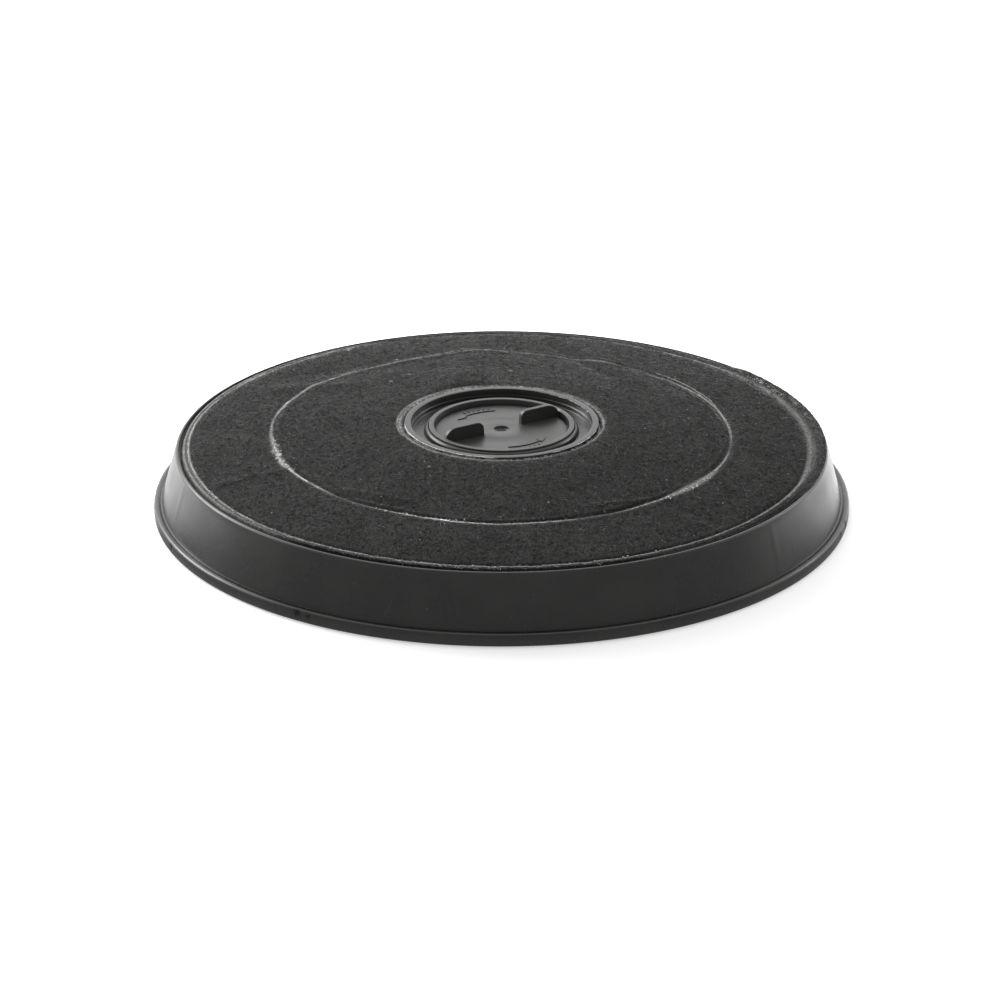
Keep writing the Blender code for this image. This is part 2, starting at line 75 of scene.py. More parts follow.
def hexToLinear(code):                   # an sRGB hex colour as the linear values that shaders use
    parts = [int(code[i:i + 2], 16) / 255 for i in (1, 3, 5)]
    return tuple(c / 12.92 if c <= 0.04045 else ((c + 0.055) / 1.055) ** 2.4 for c in parts) + (1.0,)


# Adds a node with its values, links and settings, and gives its output, or the node where out is None.
# Inputs 1 to 4 of a MapRange are what it maps from, low and high, and to; 6 and 7 of a Mix are its colours
def addNode(tree, kind, inputs=None, out=0, **settings):
    made = tree.nodes.new("ShaderNode" + kind)
    for name, value in settings.items():
        setattr(made, name, value)
    for name, value in (inputs or {}).items():
        if isinstance(value, bpy.types.NodeSocket):
            tree.links.new(value, made.inputs[name])
        else:
            made.inputs[name].default_value = hexToLinear(value) if isinstance(value, str) else value
    return made.outputs[out] if made.outputs and out is not None else made


def newMaterial(name):
    material = bpy.data.materials.new(name)
    material.use_nodes = True
    tree = material.node_tree
    tree.nodes.clear()
    return material, tree


def perMm(size):                         # the texture scale whose pattern repeats at that size
    return 1 / (size * mm)


def arc(centreR, centreZ, radius, start, end, steps):
    angles = [math.radians(start + (end - start) * i / steps) for i in range(steps + 1)]
    return [(centreR + radius * math.cos(a), centreZ + radius * math.sin(a)) for a in angles]


def spot(r, angle):                      # the point (x, y) at a radius and an angle
    return r * math.cos(math.radians(angle)), r * math.sin(math.radians(angle))


def beside(u, v, turn):                  # the point at u along the ray at an angle, and v to its left
    c, s = spot(1, turn)
    return u * c - v * s, u * s + v * c


def polar(r, turn, z):                   # arrays of points at a radius, an angle in radians and a height
    return np.stack(np.broadcast_arrays(r * np.cos(turn), r * np.sin(turn), z), axis=-1)


def turnedRings(profile, segments):      # a section of (radius, height), turned about Z
    r, z = np.array(profile).T[:, :, None]
    return polar(r, np.arange(segments) * 2 * np.pi / segments, z)


def ringMesh(name, rings, closed=True):  # joins each ring of points to the next, and the ends
    count, segments = rings.shape[:2]
    points = rings.reshape(-1, 3) * mm
    index = np.arange(count * segments).reshape(count, segments)
    following = np.roll(index, -1, axis=0) if closed else index[1:]
    first = index if closed else index[:-1]
    corners = [first, np.roll(first, -1, axis=1), np.roll(following, -1, axis=1), following]
    faces = np.stack(corners, axis=2).reshape(-1, 4).tolist()
    if not closed:                       # both ends reach the axis
        ends = [rings[0].mean(axis=0) * mm, rings[-1].mean(axis=0) * mm]
        for ring, centre in zip((index[0], index[-1]), (len(points), len(points) + 1)):
            faces += [(int(ring[i - 1]), int(ring[i]), centre) for i in range(segments)]
        points = np.vstack([points, ends])
    mesh = bpy.data.meshes.new(name)
    mesh.from_pydata(points.tolist(), [], faces)
    return mesh


def finishPiece(name, mesh, smoothAngle=35):         # outward faces, smooth round shading
    bm = bmesh.new()
    bm.from_mesh(mesh)
    bmesh.ops.recalc_face_normals(bm, faces=bm.faces)
    bm.to_mesh(mesh)
    bm.free()
    mesh.shade_smooth()
    mesh.set_sharp_from_angle(angle=math.radians(smoothAngle))
    mesh.name = name
    piece = bpy.data.objects.new(name, mesh)
    bpy.context.scene.collection.objects.link(piece)
    return piece


def addBlock(bm, rows):                  # a closed block through rows of points, which are its sections
    rows = [[bm.verts.new([c * mm for c in point]) for point in row] for row in rows]
    for near, far in zip(rows, rows[1:]):
        for i in range(len(near)):
            bm.faces.new((near[i - 1], near[i], far[i], far[i - 1]))
    bm.faces.new(reversed(rows[0]))
    bm.faces.new(rows[-1])


def addSector(bm, profile, start, end, columns, sideInset=0.0):      # a closed stretch of a turned ring
    rows = []
    for column in range(columns + 1):
        row = []
        for r, z in profile:
            trim = math.degrees(math.asin(sideInset / r))
            row.append((*spot(r, start + trim + (end - start - 2 * trim) * column / columns), z))
        rows.append(row)
    addBlock(bm, rows)


def cutOrJoin(piece, bm, operation):     # an exact Boolean, applied
    bmesh.ops.recalc_face_normals(bm, faces=bm.faces)
    mesh = bpy.data.meshes.new("tool")
    bm.to_mesh(mesh)
    bm.free()
    tool = bpy.data.objects.new("tool", mesh)
    bpy.context.scene.collection.objects.link(tool)
    modifier = piece.modifiers.new("tool", "BOOLEAN")
    modifier.object = tool
    modifier.operation = operation
    modifier.solver = "EXACT"
    shaped = bpy.data.meshes.new_from_object(piece.evaluated_get(bpy.context.evaluated_depsgraph_get()))
    piece.modifiers.clear()
    piece.data = shaped
    bpy.data.objects.remove(tool)


def pointsOf(piece):                     # a piece's points in mm
    flat = np.empty(len(piece.data.vertices) * 3)
    piece.data.vertices.foreach_get("co", flat)
    return flat.reshape(-1, 3) / mm


def movePoints(piece, points):
    piece.data.vertices.foreach_set("co", (points * mm).ravel())
    piece.data.update()


def paintPoints(piece, name, values):    # a share at each point, which the material reads
    attribute = piece.data.attributes.new(name, "FLOAT", "POINT")
    attribute.data.foreach_set("value", np.clip(values, 0, 2).astype(np.float32).ravel())


# Closed three-sided tubes along paths of shape (fibre, point, 3), as one piece with a share for each
def fibrePiece(name, paths, thickness, share, shares):
    count, steps = paths.shape[:2]
    ahead = np.gradient(paths, axis=1)
    side = np.cross(ahead, (0.13, 0.21, 1.0))
    side /= np.linalg.norm(side, axis=2, keepdims=True)
    up = np.cross(side, ahead)
    up /= np.linalg.norm(up, axis=2, keepdims=True)
    reach = np.broadcast_to(np.asarray(thickness, float) / 2, count)[:, None, None]
    turns = [2 * math.pi * k / 3 for k in range(3)]
    corners = [paths + (side * math.cos(a) + up * math.sin(a)) * reach for a in turns]
    points = np.stack(corners, axis=2).reshape(-1, 3) * mm
    index = np.arange(count * steps * 3).reshape(count, steps, 3)
    near, far = index[:, :-1], index[:, 1:]
    walls = np.stack([near, np.roll(near, -1, axis=2), np.roll(far, -1, axis=2), far], axis=3)
    faces = walls.reshape(-1, 4).tolist() + index[:, 0, ::-1].tolist() + index[:, -1].tolist()
    mesh = bpy.data.meshes.new(name)
    mesh.from_pydata(points.tolist(), [], faces)
    piece = finishPiece(name, mesh, 80)
    paintPoints(piece, share, np.repeat(shares, 3 * steps))
    return piece


def clothPiece(name, face, rest, pressed):           # a closed cloth: rings of its face, then the others
    piece = finishPiece(name, ringMesh(name, np.vstack([face, np.array(rest)])), 80)
    paintPoints(piece, "pressed", np.concatenate([pressed.ravel(), np.zeros(len(rest) * face.shape[1])]))
    return piece


def waves(points, size, seed):           # smooth noise from -1 to 1 whose features are that big
    scaled = np.asarray(points).reshape(-1, 3) / size + seed
    made = np.array([noise.noise(Vector(p)) for p in scaled.tolist()])
    return made.reshape(np.asarray(points).shape[:-1])


def smooth(values, start, end):          # 0 before start, 1 after end, with soft ends
    t = np.clip((values - start) / (end - start), 0, 1)
    return t * t * (3 - 2 * t)


def aroundTheRing(angles, table, column):            # reads a column of a table by angle
    marks = [row[0] for row in table]
    return np.interp(angles % 360, marks, [row[column] for row in table], period=360)


def bump(distance, width):               # a soft ridge, 1 at its middle
    return np.exp(-((distance / width) ** 2))


def arcBetween(angles, start, end, blend):           # 1 between two angles, fading over blend
    middle = (start + end) / 2
    reach = (end - start) / 2
    away = np.abs((angles - middle + 180) % 360 - 180)
    return 1 - smooth(away, reach, reach + blend)


def feltLine(r):                         # the felt's upper face before it swells and wrinkles
    marks = [dome["hubRadius"], dome["middleRadius"], feltRadius]
    return np.interp(r, marks, [dome["hubHeight"], dome["middleHeight"], dome["edgeHeight"]])


# The housing: one black moulding, turned from a section, with cells cut into it
housingLook = {
    "segments": 640,
    "flangeReach": 2.9,                  # wall's foot to the flange's edge
    "flangeHeight": 4.4,
    "edgeRound": 1.1,
    "crestRound": 1.3,
    "wallThickness": 1.8,
    "wallLean": 5.2,
    "rimHeight": 22.2,
    "rimRound": (0.4, 1.4, 0.3),         # tight, wide and tight again, which makes a broad soft corner
    "lipWidth": 0.95,
    "landWidth": 3.75,
    "plate": 1.6,
    "cells": 8,
    "ribThickness": 2.0,
    "crownWidth": 2.4,
    "footHeight": 3.4,                   # the back felt is welded here
    "mouldLines": ((198.8, 0.16), (321.4, 0.15)),    # angle and height of the wall's mould lines
    "mouldLineWidth": 0.9,
    "wallWander": 0.10,                  # how far the wall strays from round
    # Angle and depth of the nicks in the flange's edge
    "nicks": ((173.0, 0.20), (176.5, 0.30), (180.5, 0.35), (184.0, 0.22), (187.5, 0.30), (203.0, 0.25),
              (237.0, 0.35), (239.0, 0.22), (342.0, 0.25), (346.5, 0.30), (350.0, 0.22)),
    "flashOuter": ((188, 262), (300, 342)),          # where the hub's band has ragged flash, outside, painted pale as a painted highlight
    "flashInner": (12, 62),              # and inside
    "flashCounts": (95, 30, 34),         # slivers of it in each of the three stretches
    "flashThickness": (0.14, 0.30),
    "stops": (35, 125, 215, 305),        # where the stops for the knob's hooks end
    "stopSweep": 10,
    "stopSize": (2.6, 2.5),
}
hub = {
    "bandWidth": 2.2,
    "recessDepth": 3.8,
    "ledgeWidth": 0.4,
    "ledgeDepth": 2.3,
    "channelWidth": 5.0,
    "collarWidth": 0.8,
    "collarTop": 28.2,
    "collarRound": 1.5,
    "seatHeight": 24.2,
    "bore": 21.3,
    "tube": 2.2,
    "edge": 0.2,
}
lipRadius = flangeRadius - housingLook["flangeReach"] - housingLook["wallLean"] - housingLook["lipWidth"]
landRadius = lipRadius - housingLook["landWidth"]    # the felt is welded between these two
bandRadius = dome["holeRadius"] - 0.3                # the hub's band stands inside the felt's hole


def wallRadius(z):
    look = housingLook
    rise = look["rimHeight"] - look["flangeHeight"]
    return flangeRadius - look["flangeReach"] - look["wallLean"] * (z - look["flangeHeight"]) / rise


def landHeight(r):                       # plastic that the felt is welded to
    return float(feltLine(r)) - dome["thickness"] - 0.3


def ribHeight(r):
    return float(feltLine(r)) - dome["thickness"] - 1.0


def rimCorner():                         # from the wall up to the flat of the lip
    turns = ((5, 30), (30, 62), (62, 90))
    steps = []
    for (start, end), radius in zip(turns, housingLook["rimRound"]):
        for i in range(5):
            a = math.radians(start + (end - start) * i / 5)
            b = math.radians(start + (end - start) * (i + 1) / 5)
            steps.append((radius * (math.cos(a) - math.cos(b)), radius * (math.sin(b) - math.sin(a))))
    z = housingLook["rimHeight"] - sum(rise for inward, rise in steps)
    r = wallRadius(z)
    points = [(r, z)]
    for inward, rise in steps:
        r, z = r - inward, z + rise
        points.append((r, z))
    return points


def housingProfile():
    look = housingLook
    foot = flangeRadius - look["flangeReach"]
    edge = flangeRadius - look["edgeRound"]
    crest = flangeRadius - look["crestRound"]
    top = look["flangeHeight"]
    points = [(foot, 0.0)]
    points += arc(edge, look["edgeRound"], look["edgeRound"], -90, 0, 6)
    points += arc(crest, top - look["crestRound"], look["crestRound"], 0, 100, 9)
    groove = (crest + foot) / 2 - 0.35   # shallow groove between the crest and the wall's foot
    points += [(groove + 0.35, top - 0.26), (groove + 0.15, top - 0.36), (groove - 0.05, top - 0.36)]
    points += [(groove - 0.25, top - 0.25), (foot + 0.30, top - 0.06)]
    points += [(foot + 0.16, top), (foot + 0.02, top)]
    points += [(wallRadius(top + 0.6), top + 0.6), (wallRadius(top + 5), top + 5)]
    points += [(wallRadius(15.0), 15.0), (wallRadius(19.5), 19.5)]       # straight wall, in steps
    points += rimCorner()
    points += arc(lipRadius + 0.12, look["rimHeight"] - 0.12, 0.12, 90, 180, 3)
    points += [(lipRadius, landHeight(lipRadius)), (landRadius, landHeight(landRadius))]
    points.append((landRadius, ribHeight(landRadius)))
    outer = dome["middleRadius"] + look["crownWidth"] / 2                # middle ring's crown
    inner = dome["middleRadius"] - look["crownWidth"] / 2
    points += [(outer, ribHeight(outer)), (outer, landHeight(outer))]
    points += [(inner, landHeight(inner)), (inner, ribHeight(inner))]
    return points + hubProfile()


def hubProfile():
    look = housingLook
    soft = hub["edge"]
    weld = dome["hubRadius"]
    band = bandRadius
    recess = band - hub["bandWidth"]
    ledge = recess - hub["ledgeWidth"]
    ledgeTop = bandTop - hub["ledgeDepth"]
    channel = bandTop - hub["recessDepth"]
    collar = recess - hub["channelWidth"]
    seatEdge = collar - hub["collarWidth"]
    seat = hub["seatHeight"]
    underSeat = seat - look["plate"]
    underWeld = landHeight(weld) - look["plate"]
    tube = weld - hub["tube"]
    points = [(weld, ribHeight(weld)), (weld, landHeight(weld)), (band, landHeight(weld))]
    points += arc(band - soft, bandTop - soft, soft, 0, 90, 3)
    points += arc(recess + soft, bandTop - soft, soft, 90, 180, 3)
    # Down the recess's wall and its ledge, across the channel's floor and up the collar's round shoulder
    points += [(recess, ledgeTop + 0.1), (recess - 0.1, ledgeTop), (ledge + 0.08, ledgeTop)]
    points += [(ledge, ledgeTop - 0.08), (ledge, channel + 0.3)]
    points += arc(ledge - 0.3, channel + 0.3, 0.3, 0, -90, 3)
    points += arc(collar + 0.75, channel + 0.5, 0.5, 270, 185, 4)
    shoulder, collarTop = hub["collarRound"], hub["collarTop"] - 0.1
    points += arc(collar + 0.25 - shoulder, collarTop - 0.951 * shoulder, shoulder, 8, 72, 10)
    points.append((seatEdge, collarTop))
    # The knob's seat with its bore, then back outwards underneath
    points += [(seatEdge, seat), (hub["bore"], seat), (hub["bore"], underSeat), (collar, underSeat)]
    points += [(collar + 0.3, channel - look["plate"]), (recess, channel - look["plate"])]
    points += [(band, underWeld), (tube, underWeld), (tube, look["footHeight"])]
    points.append((flangeRadius - look["flangeReach"], look["footHeight"]))
    return points


def cellSections():                      # the spaces between the ribs, outside and inside the middle ring
    def over(r):                         # above the rib's crown there, so that the cut comes out on top
        return float(feltLine(r)) + 1.4

    look = housingLook
    low = look["footHeight"] - 2.8       # below the ribs' feet, so that the cells are open there
    shoulder = look["crownWidth"] / 2 + 0.6
    underLand = landHeight(landRadius) - look["plate"]
    inner = dome["middleRadius"] + shoulder
    mouth = landRadius - 0.6
    outerCell = [
        (inner, low),
        (wallRadius(low) - look["wallThickness"], low),
        (wallRadius(underLand) - look["wallThickness"], underLand),
        (mouth, underLand),
        (mouth, over(mouth)),
        (inner, over(inner)),
    ]
    near = dome["hubRadius"] + 0.6
    far = dome["middleRadius"] - shoulder
    innerCell = [(near, low), (far, low), (far, over(far)), (near, over(near))]
    return outerCell, innerCell


def shapeHousing():
    look = housingLook
    mesh = ringMesh("housing", turnedRings(housingProfile(), look["segments"]))
    piece = finishPiece("filter_housing", mesh)
    sweep = 360 / look["cells"]
    cells = bmesh.new()
    for section in cellSections():
        for i in range(look["cells"]):
            addSector(cells, section, i * sweep, (i + 1) * sweep, 32, look["ribThickness"] / 2)
    cutOrJoin(piece, cells, "DIFFERENCE")
    stops = bmesh.new()
    low = hub["seatHeight"] - look["plate"] - 2.0
    near, (width, height) = hub["bore"] + 0.5, look["stopSize"]
    section = [(near, low), (near + width, low), (near + width, low + height), (near, low + height)]
    for end in look["stops"]:
        addSector(stops, section, end - look["stopSweep"], end, 8)
    cutOrJoin(piece, stops, "UNION")
    return piece


def wearHousing(piece):                  # mould lines, nicks and flash as shape; painted highlight, dark dents and painted floor reflection as shares
    look = housingLook
    points = pointsOf(piece)
    x, y, z = points.T
    r = np.hypot(x, y)
    angle = np.degrees(np.arctan2(y, x)) % 360
    outside = (r > wallRadius(z) - 1.0) & (z > look["flangeHeight"] + 0.3)
    wall = np.where(outside, smooth(z, 4.7, 7.0) * (1 - smooth(z, 19.5, 21.8)), 0.0)
    push = look["wallWander"] * waves(points, 38, 3.1) * wall
    for place, height in look["mouldLines"]:
        push += height * bump(np.radians(angle - place) * r, look["mouldLineWidth"]) * wall
    bead = np.where(z < look["flangeHeight"], smooth(r, flangeRadius - 1.6, flangeRadius - 0.4), 0.0)
    darkDent = np.zeros_like(r)
    # each nick is dented, and the dent is also drawn darker and less glossy
    for place, depth in look["nicks"]:
        dent = bump(np.radians(angle - place) * r, 1.0) * bump(z - 1.2 - 6 * depth, 0.9) * bead
        push -= depth * dent
        darkDent = np.maximum(darkDent, dent)
    ragged = np.clip(waves(points, 0.9, 7.7) + 0.15, 0, 1) + 0.6 * np.clip(waves(points, 2.2, 1.3), 0, 1)
    top = z > bandTop - 0.45
    # painted highlight: the band's outer edge, pushed out as ragged flash, is painted pale where light
    # glints on it
    outerEdge = top * bump(r - bandRadius, 0.09) * arcBetween(angle, *look["flashOuter"][0], 8)
    push += 0.25 * ragged * outerEdge
    paleWearAndHighlight = np.clip(2.0 * ragged, 0, 0.5) * outerEdge
    share = 1 + push / r
    movePoints(piece, np.stack([x * share, y * share, z], axis=1))
    paintPoints(piece, "paleWearAndHighlight", paleWearAndHighlight)
    paintPoints(piece, "darkDent", darkDent)
    # painted reflection: the flange's foot is painted lighter where it would mirror the floor
    paintPoints(piece, "paintedReflection", (z < 2.6) * smooth(r, flangeRadius - 1.0, flangeRadius - 0.3))


def shapeFlash():                        # slivers of flash along the hub's band, whitened by bending and pale as a painted highlight
    look = housingLook
    rng = np.random.default_rng(7)
    stretches = [(*span, bandRadius + 0.02) for span in look["flashOuter"]]
    stretches.append((*look["flashInner"], bandRadius - hub["bandWidth"] - 0.02))
    paths = []
    for (start, end, radius), number in zip(stretches, look["flashCounts"]):
        begin = np.radians(rng.uniform(start, end, number))
        length = rng.uniform(0.6, 2.6, number) / radius
        angles = begin[:, None] + length[:, None] * np.linspace(0, 1, 4)[None, :]
        r = radius + rng.normal(0, 0.05, number)[:, None] + rng.normal(0, 0.05, angles.shape)
        z = bandTop - 0.06 + rng.normal(0, 0.05, angles.shape)
        paths.append(polar(r, angles, z))
    paths = np.vstack(paths)
    thickness = rng.uniform(*look["flashThickness"], len(paths))
    return fibrePiece("hub_flash", paths, thickness, "paleWearAndHighlight", rng.uniform(0.35, 1.0, len(paths)))


# The felts: one over the face, drawn down by its pressed lines, and a plainer one underneath
feltLook = {
    "segments": 700,
    "coarseStep": 0.76,                  # between rings of points
    "fineStep": 0.36,                    # the same beside the welds
    "backSegments": 480,                 # the felt underneath needs fewer points
    "backStep": 1.6,
    "swell": 0.5,                        # between two welds
    "tuft": 0.12,                        # height of the needled tufts
    "tuftSize": 1.5,
    "carding": 0.4,                      # tufts are longer along Y, as the fibres were carded that way
    "outerWeld": 107.8,
    "outerEdge": 109.2,                  # second pressed line, near the lip
    "edgeDip": 1.3,                      # how far the outer edge drops beside the lip
    "overhang": (-17, 36),               # where the edge stands over the lip instead
    "overhangReach": 1.4,
    "weldDepth": 0.35,
    "bead": 0.42,                        # how far a pressed line stands up
    "levelEdge": (300, 352),             # where the edge lies level with the lip
    "edgeLine": (152, 222),              # where the second pressed line shows
    "rubbedEdge": (0, 40),               # where the edge is rubbed pale
    "holeThread": (110, 190),            # where a pale thread runs beside the hole's edge
    "frayed": ((296, 352, 0.55), (-8, 40, 0.25)),    # where the hole's edge has drawn back, and how far
    "foldHeight": 0.28,                  # of the wide, soft swells
    "foldSize": 26,
    "leastWidth": 0.36,                  # of a pressed line
}
# Each row: angle, how light the pressed line is, its width, how far it strays, how deep it is
middleWeld = [
    (3, 0.36, 0.30, -0.1, 0.40),
    (12, 0.48, 0.32, -0.3, 0.45),
    (18, 0.52, 0.32, -0.1, 0.55),
    (31, 0.55, 0.30, -0.3, 0.50),
    (44, 0.30, 0.30, -0.4, 0.70),
    (54, 0.18, 0.40, 0.1, 0.90),
    (63, 0.30, 0.30, 0.1, 0.45),
    (75, 0.28, 0.30, -0.2, 0.35),
    (87, 0.85, 0.26, -0.2, 0.35),
    (100, 0.95, 0.26, 1.2, 0.35),
    (117, 1.00, 0.28, 1.4, 0.40),
    (140, 0.95, 0.28, 1.6, 0.45),
    (160, 0.85, 0.28, 1.7, 0.45),
    (170, 0.28, 0.30, 1.5, 0.40),
    (178, 0.45, 0.40, 0.6, 0.40),
    (189, 0.50, 0.80, -0.5, 0.30),
    (201, 0.55, 0.95, -0.1, 0.30),
    (210, 0.60, 0.40, -0.7, 0.35),
    (222, 0.42, 0.28, -0.8, 0.35),
    (226, 0.10, 0.28, -0.7, 0.30),
    (242, 0.12, 0.30, -0.6, 0.30),
    (246, 0.45, 0.34, -0.5, 0.35),
    (252, 0.55, 0.30, -0.1, 0.45),
    (257, 0.95, 0.42, 0.7, 0.45),
    (264, 0.62, 0.30, 0.9, 0.45),
    (284, 0.48, 0.30, 0.4, 0.50),
    (290, 0.12, 0.30, 0.2, 0.55),
    (298, 0.14, 0.32, 0.2, 0.55),
    (303, 0.45, 0.34, 0.2, 0.45),
    (313, 0.45, 0.60, 0.1, 0.35),
    (321, 0.36, 1.40, 0.3, 0.25),
    (328, 0.34, 1.30, 0.5, 0.25),
    (336, 0.42, 0.50, 0.3, 0.35),
    (342, 0.34, 0.30, 0.3, 0.40),
    (349, 0.08, 0.30, 0.1, 0.35),
    (355, 0.16, 0.30, 0.0, 0.35),
]
# A second thread beside the middle weld, on the right
secondWeld = [(16, 0.0, 0.3, -1.4), (20, 0.55, 0.3, -0.8), (34, 0.60, 0.3, 0.0), (46, 0.45, 0.3, 0.4),
              (52, 0.0, 0.3, 0.8)]
outerWelds = [
    (8, 0.26, 1.50, -1.7, 0.40),
    (24, 0.26, 1.60, -2.0, 0.40),
    (38, 0.30, 1.30, -2.4, 0.40),
    (46, 0.50, 0.40, -2.9, 0.40),
    (54, 0.45, 0.28, -2.9, 0.40),
    (66, 0.26, 0.26, -2.3, 0.30),
    (95, 0.08, 0.30, -1.0, 0.20),
    (112, 0.08, 0.60, -0.8, 0.25),
    (121, 0.24, 1.50, -0.6, 0.30),
    (144, 0.26, 1.50, -0.4, 0.35),
    (153, 0.40, 0.34, -0.4, 0.45),
    (175, 0.55, 0.30, -0.2, 0.45),
    (203, 0.46, 0.28, -0.3, 0.45),
    (219, 0.42, 0.28, 0.2, 0.40),
    (248, 0.42, 0.30, 0.2, 0.40),
    (262, 0.48, 0.36, 0.5, 0.35),
    (280, 0.50, 0.36, 0.6, 0.35),
    (305, 0.40, 0.28, 0.4, 0.35),
    (323, 0.40, 0.28, -0.3, 0.40),
    (338, 0.38, 0.50, -0.5, 0.40),
    (346, 0.30, 1.10, -0.9, 0.40),
    (357, 0.26, 1.50, -1.4, 0.35),
]
# Each row: a crease or mound from one point to another, its height and its half width
wrinkles = [
    ((-15, 48), (-8, 84), 1.3, 11.0),    # mound behind the hub
    ((-44, 66), (-21, 60), -0.5, 8.0),   # the hollow on its left
    ((20, 87), (38, 52), -0.6, 2.8),
    ((27, 88), (46, 55), 0.4, 4.0),
    ((-73, 58), (-66, 61), -0.9, 7.0),
    ((-76, 44), (-60, 44), 0.6, 5.0),
    ((-95, -43), (-72, -33), 0.4, 2.0),
    ((-53, -56), (-33, -66), -0.3, 0.9),
    ((-51, -53), (-31, -63), 0.4, 1.3),
    ((20, -75), (35, -69), -0.35, 0.9),
    ((30, -66), (46, -61), 0.45, 1.6),
    ((43, 66), (55, 55), -0.7, 1.1),
    ((57, -64), (69, -75), -0.4, 2.4),
    ((-100, 8), (-88, 2), -0.5, 5.0),
    ((64, 30), (52, 44), 0.4, 6.0),
    ((-30, -88), (10, -92), 0.35, 7.0),
]


def ringSteps(outer, inner, fineRanges):             # radii from outer to inner, closer beside the welds
    radii = [outer]
    while radii[-1] > inner + 0.3:
        r = radii[-1]
        fine = any(low <= r <= high for low, high in fineRanges)
        radii.append(r - (feltLook["fineStep"] if fine else feltLook["coarseStep"]))
    radii[-1] = inner
    return np.array(radii)


def wrinkleHeight(x, y):
    total = np.zeros_like(x)
    for (x1, y1), (x2, y2), height, width in wrinkles:
        length = math.hypot(x2 - x1, y2 - y1)
        ux, uy = (x2 - x1) / length, (y2 - y1) / length
        along = (x - x1) * ux + (y - y1) * uy
        across = (x - x1) * uy - (y - y1) * ux
        beyond = np.maximum(np.maximum(-along, along - length), 0)
        total += height * bump(across, width) * bump(beyond, width * 1.6)
    return total


# The upper face's points, how light each is, and the share of the edge that stands over the lip
def frontFeltTop(radii, angles):
    look = feltLook
    r, degrees = np.broadcast_arrays(radii[:, None], angles)
    flat = polar(r, np.radians(degrees), 0.0)
    middle = dome["middleRadius"] + aroundTheRing(degrees, middleWeld, 3)
    middleWidth = np.maximum(aroundTheRing(degrees, middleWeld, 2), look["leastWidth"])
    middleDepth = aroundTheRing(degrees, middleWeld, 4)
    outer = look["outerWeld"] + aroundTheRing(degrees, outerWelds, 3)
    outerWidth = np.maximum(aroundTheRing(degrees, outerWelds, 2), look["leastWidth"])
    hubEdge = dome["holeRadius"] + 2.0
    span = np.where(r > middle, (r - middle) / (outer - middle), (middle - r) / (middle - hubEdge))
    swell = look["swell"] * (1 - (2 * np.clip(span, 0, 1) - 1) ** 4)
    inField = smooth(r, hubEdge, hubEdge + 4) * (1 - smooth(r, outer - 4, outer))
    carded = flat * (1, look["carding"], 1)
    tufts = look["tuft"] * waves(carded, look["tuftSize"], 11.3)
    tufts += 0.4 * look["tuft"] * waves(carded, look["tuftSize"] * 0.6, 4.9)
    folds = look["foldHeight"] * waves(flat, look["foldSize"], 8.2)
    folds = folds + wrinkleHeight(flat[:, :, 0], flat[:, :, 1])
    calm = 1 - 0.8 * bump(r - middle, 1.8)
    over = arcBetween(degrees, *look["overhang"], 13)
    level = arcBetween(degrees, *look["levelEdge"], 12)
    z = feltLine(r) + swell + folds * inField + tufts * np.maximum(0.4 + 0.6 * inField, over) * calm
    pale = aroundTheRing(degrees, middleWeld, 1)
    z += look["bead"] * pale * bump(r - middle, middleWidth + 0.1)
    z -= 0.8 * middleDepth * bump(r - middle + middleWidth + 0.65, 0.6)
    z += 0.20 * bump(r - middle - 1.8, 0.9) + 0.20 * bump(r - middle + 2.3, 0.9)
    outerPale = aroundTheRing(degrees, outerWelds, 1)
    z += look["bead"] * outerPale * bump(r - outer, outerWidth + 0.1)
    z -= look["weldDepth"] * bump(r - outer + outerWidth + 0.5, 0.5)
    z -= 0.30 * bump(r - outer - 0.75, 0.35)
    dip = smooth(r, look["outerEdge"] + 0.1, look["outerEdge"] + 0.7)
    z -= look["edgeDip"] * dip * (1 - over) * (1 - 0.75 * level)
    z += (0.40 + 0.12 * waves(flat, 1.0, 2.7)) * over * smooth(r, look["outerEdge"] - 1.6, feltRadius)
    z -= 0.35 * (1 - smooth(r, dome["holeRadius"], hubEdge))
    z += 0.14 * waves(flat, 0.9, 6.1) * bump(r - hubEdge + 0.9, 1.2)
    fluff = 0.95 + 0.30 * waves(flat, 1.1, 9.4) + 0.25 * waves(flat, 0.6, 5.5)
    light = pale * bump(r - middle, middleWidth) * fluff
    light += outerPale * bump(r - outer, outerWidth) * fluff
    edge = arcBetween(degrees, *look["edgeLine"], 14)
    light += 0.34 * bump(r - look["outerEdge"], 0.36) * fluff * edge
    band = smooth(r, outer, outer + 0.4) * (1 - smooth(r, look["outerEdge"], look["outerEdge"] + 0.5))
    light += 0.08 * band * edge
    rubbed = arcBetween(degrees, *look["rubbedEdge"], 9) * np.clip(1.5 * waves(carded, 1.3, 7.7), 0, 1)
    light += 0.40 * rubbed * bump(r - look["outerEdge"] - 0.3, 0.7)
    rag = bump(r - dome["holeRadius"] - 1.2, 0.55)
    light += (0.42 + 0.45 * waves(flat, 0.8, 3.3)) * rag
    drawn = arcBetween(degrees, *look["holeThread"], 12)
    light += 0.5 * bump(r - dome["holeRadius"] - 2.3, 0.22) * drawn * fluff
    flat[:, :, 2] = z
    return flat, np.clip(light, 0, 1), over


feltFace = {}                            # filled when the face is shaped


def feltNap(r, angles):                  # the face's height under loose fibres, read off its own shape
    low, high = feltFace["radii"][-1], feltFace["radii"][0]
    rows = np.searchsorted(-feltFace["radii"], -np.clip(r, low, high)).clip(0, len(feltFace["radii"]) - 1)
    columns = np.round(angles / (2 * math.pi) * feltLook["segments"]).astype(int) % feltLook["segments"]
    return feltFace["heights"][rows, columns]


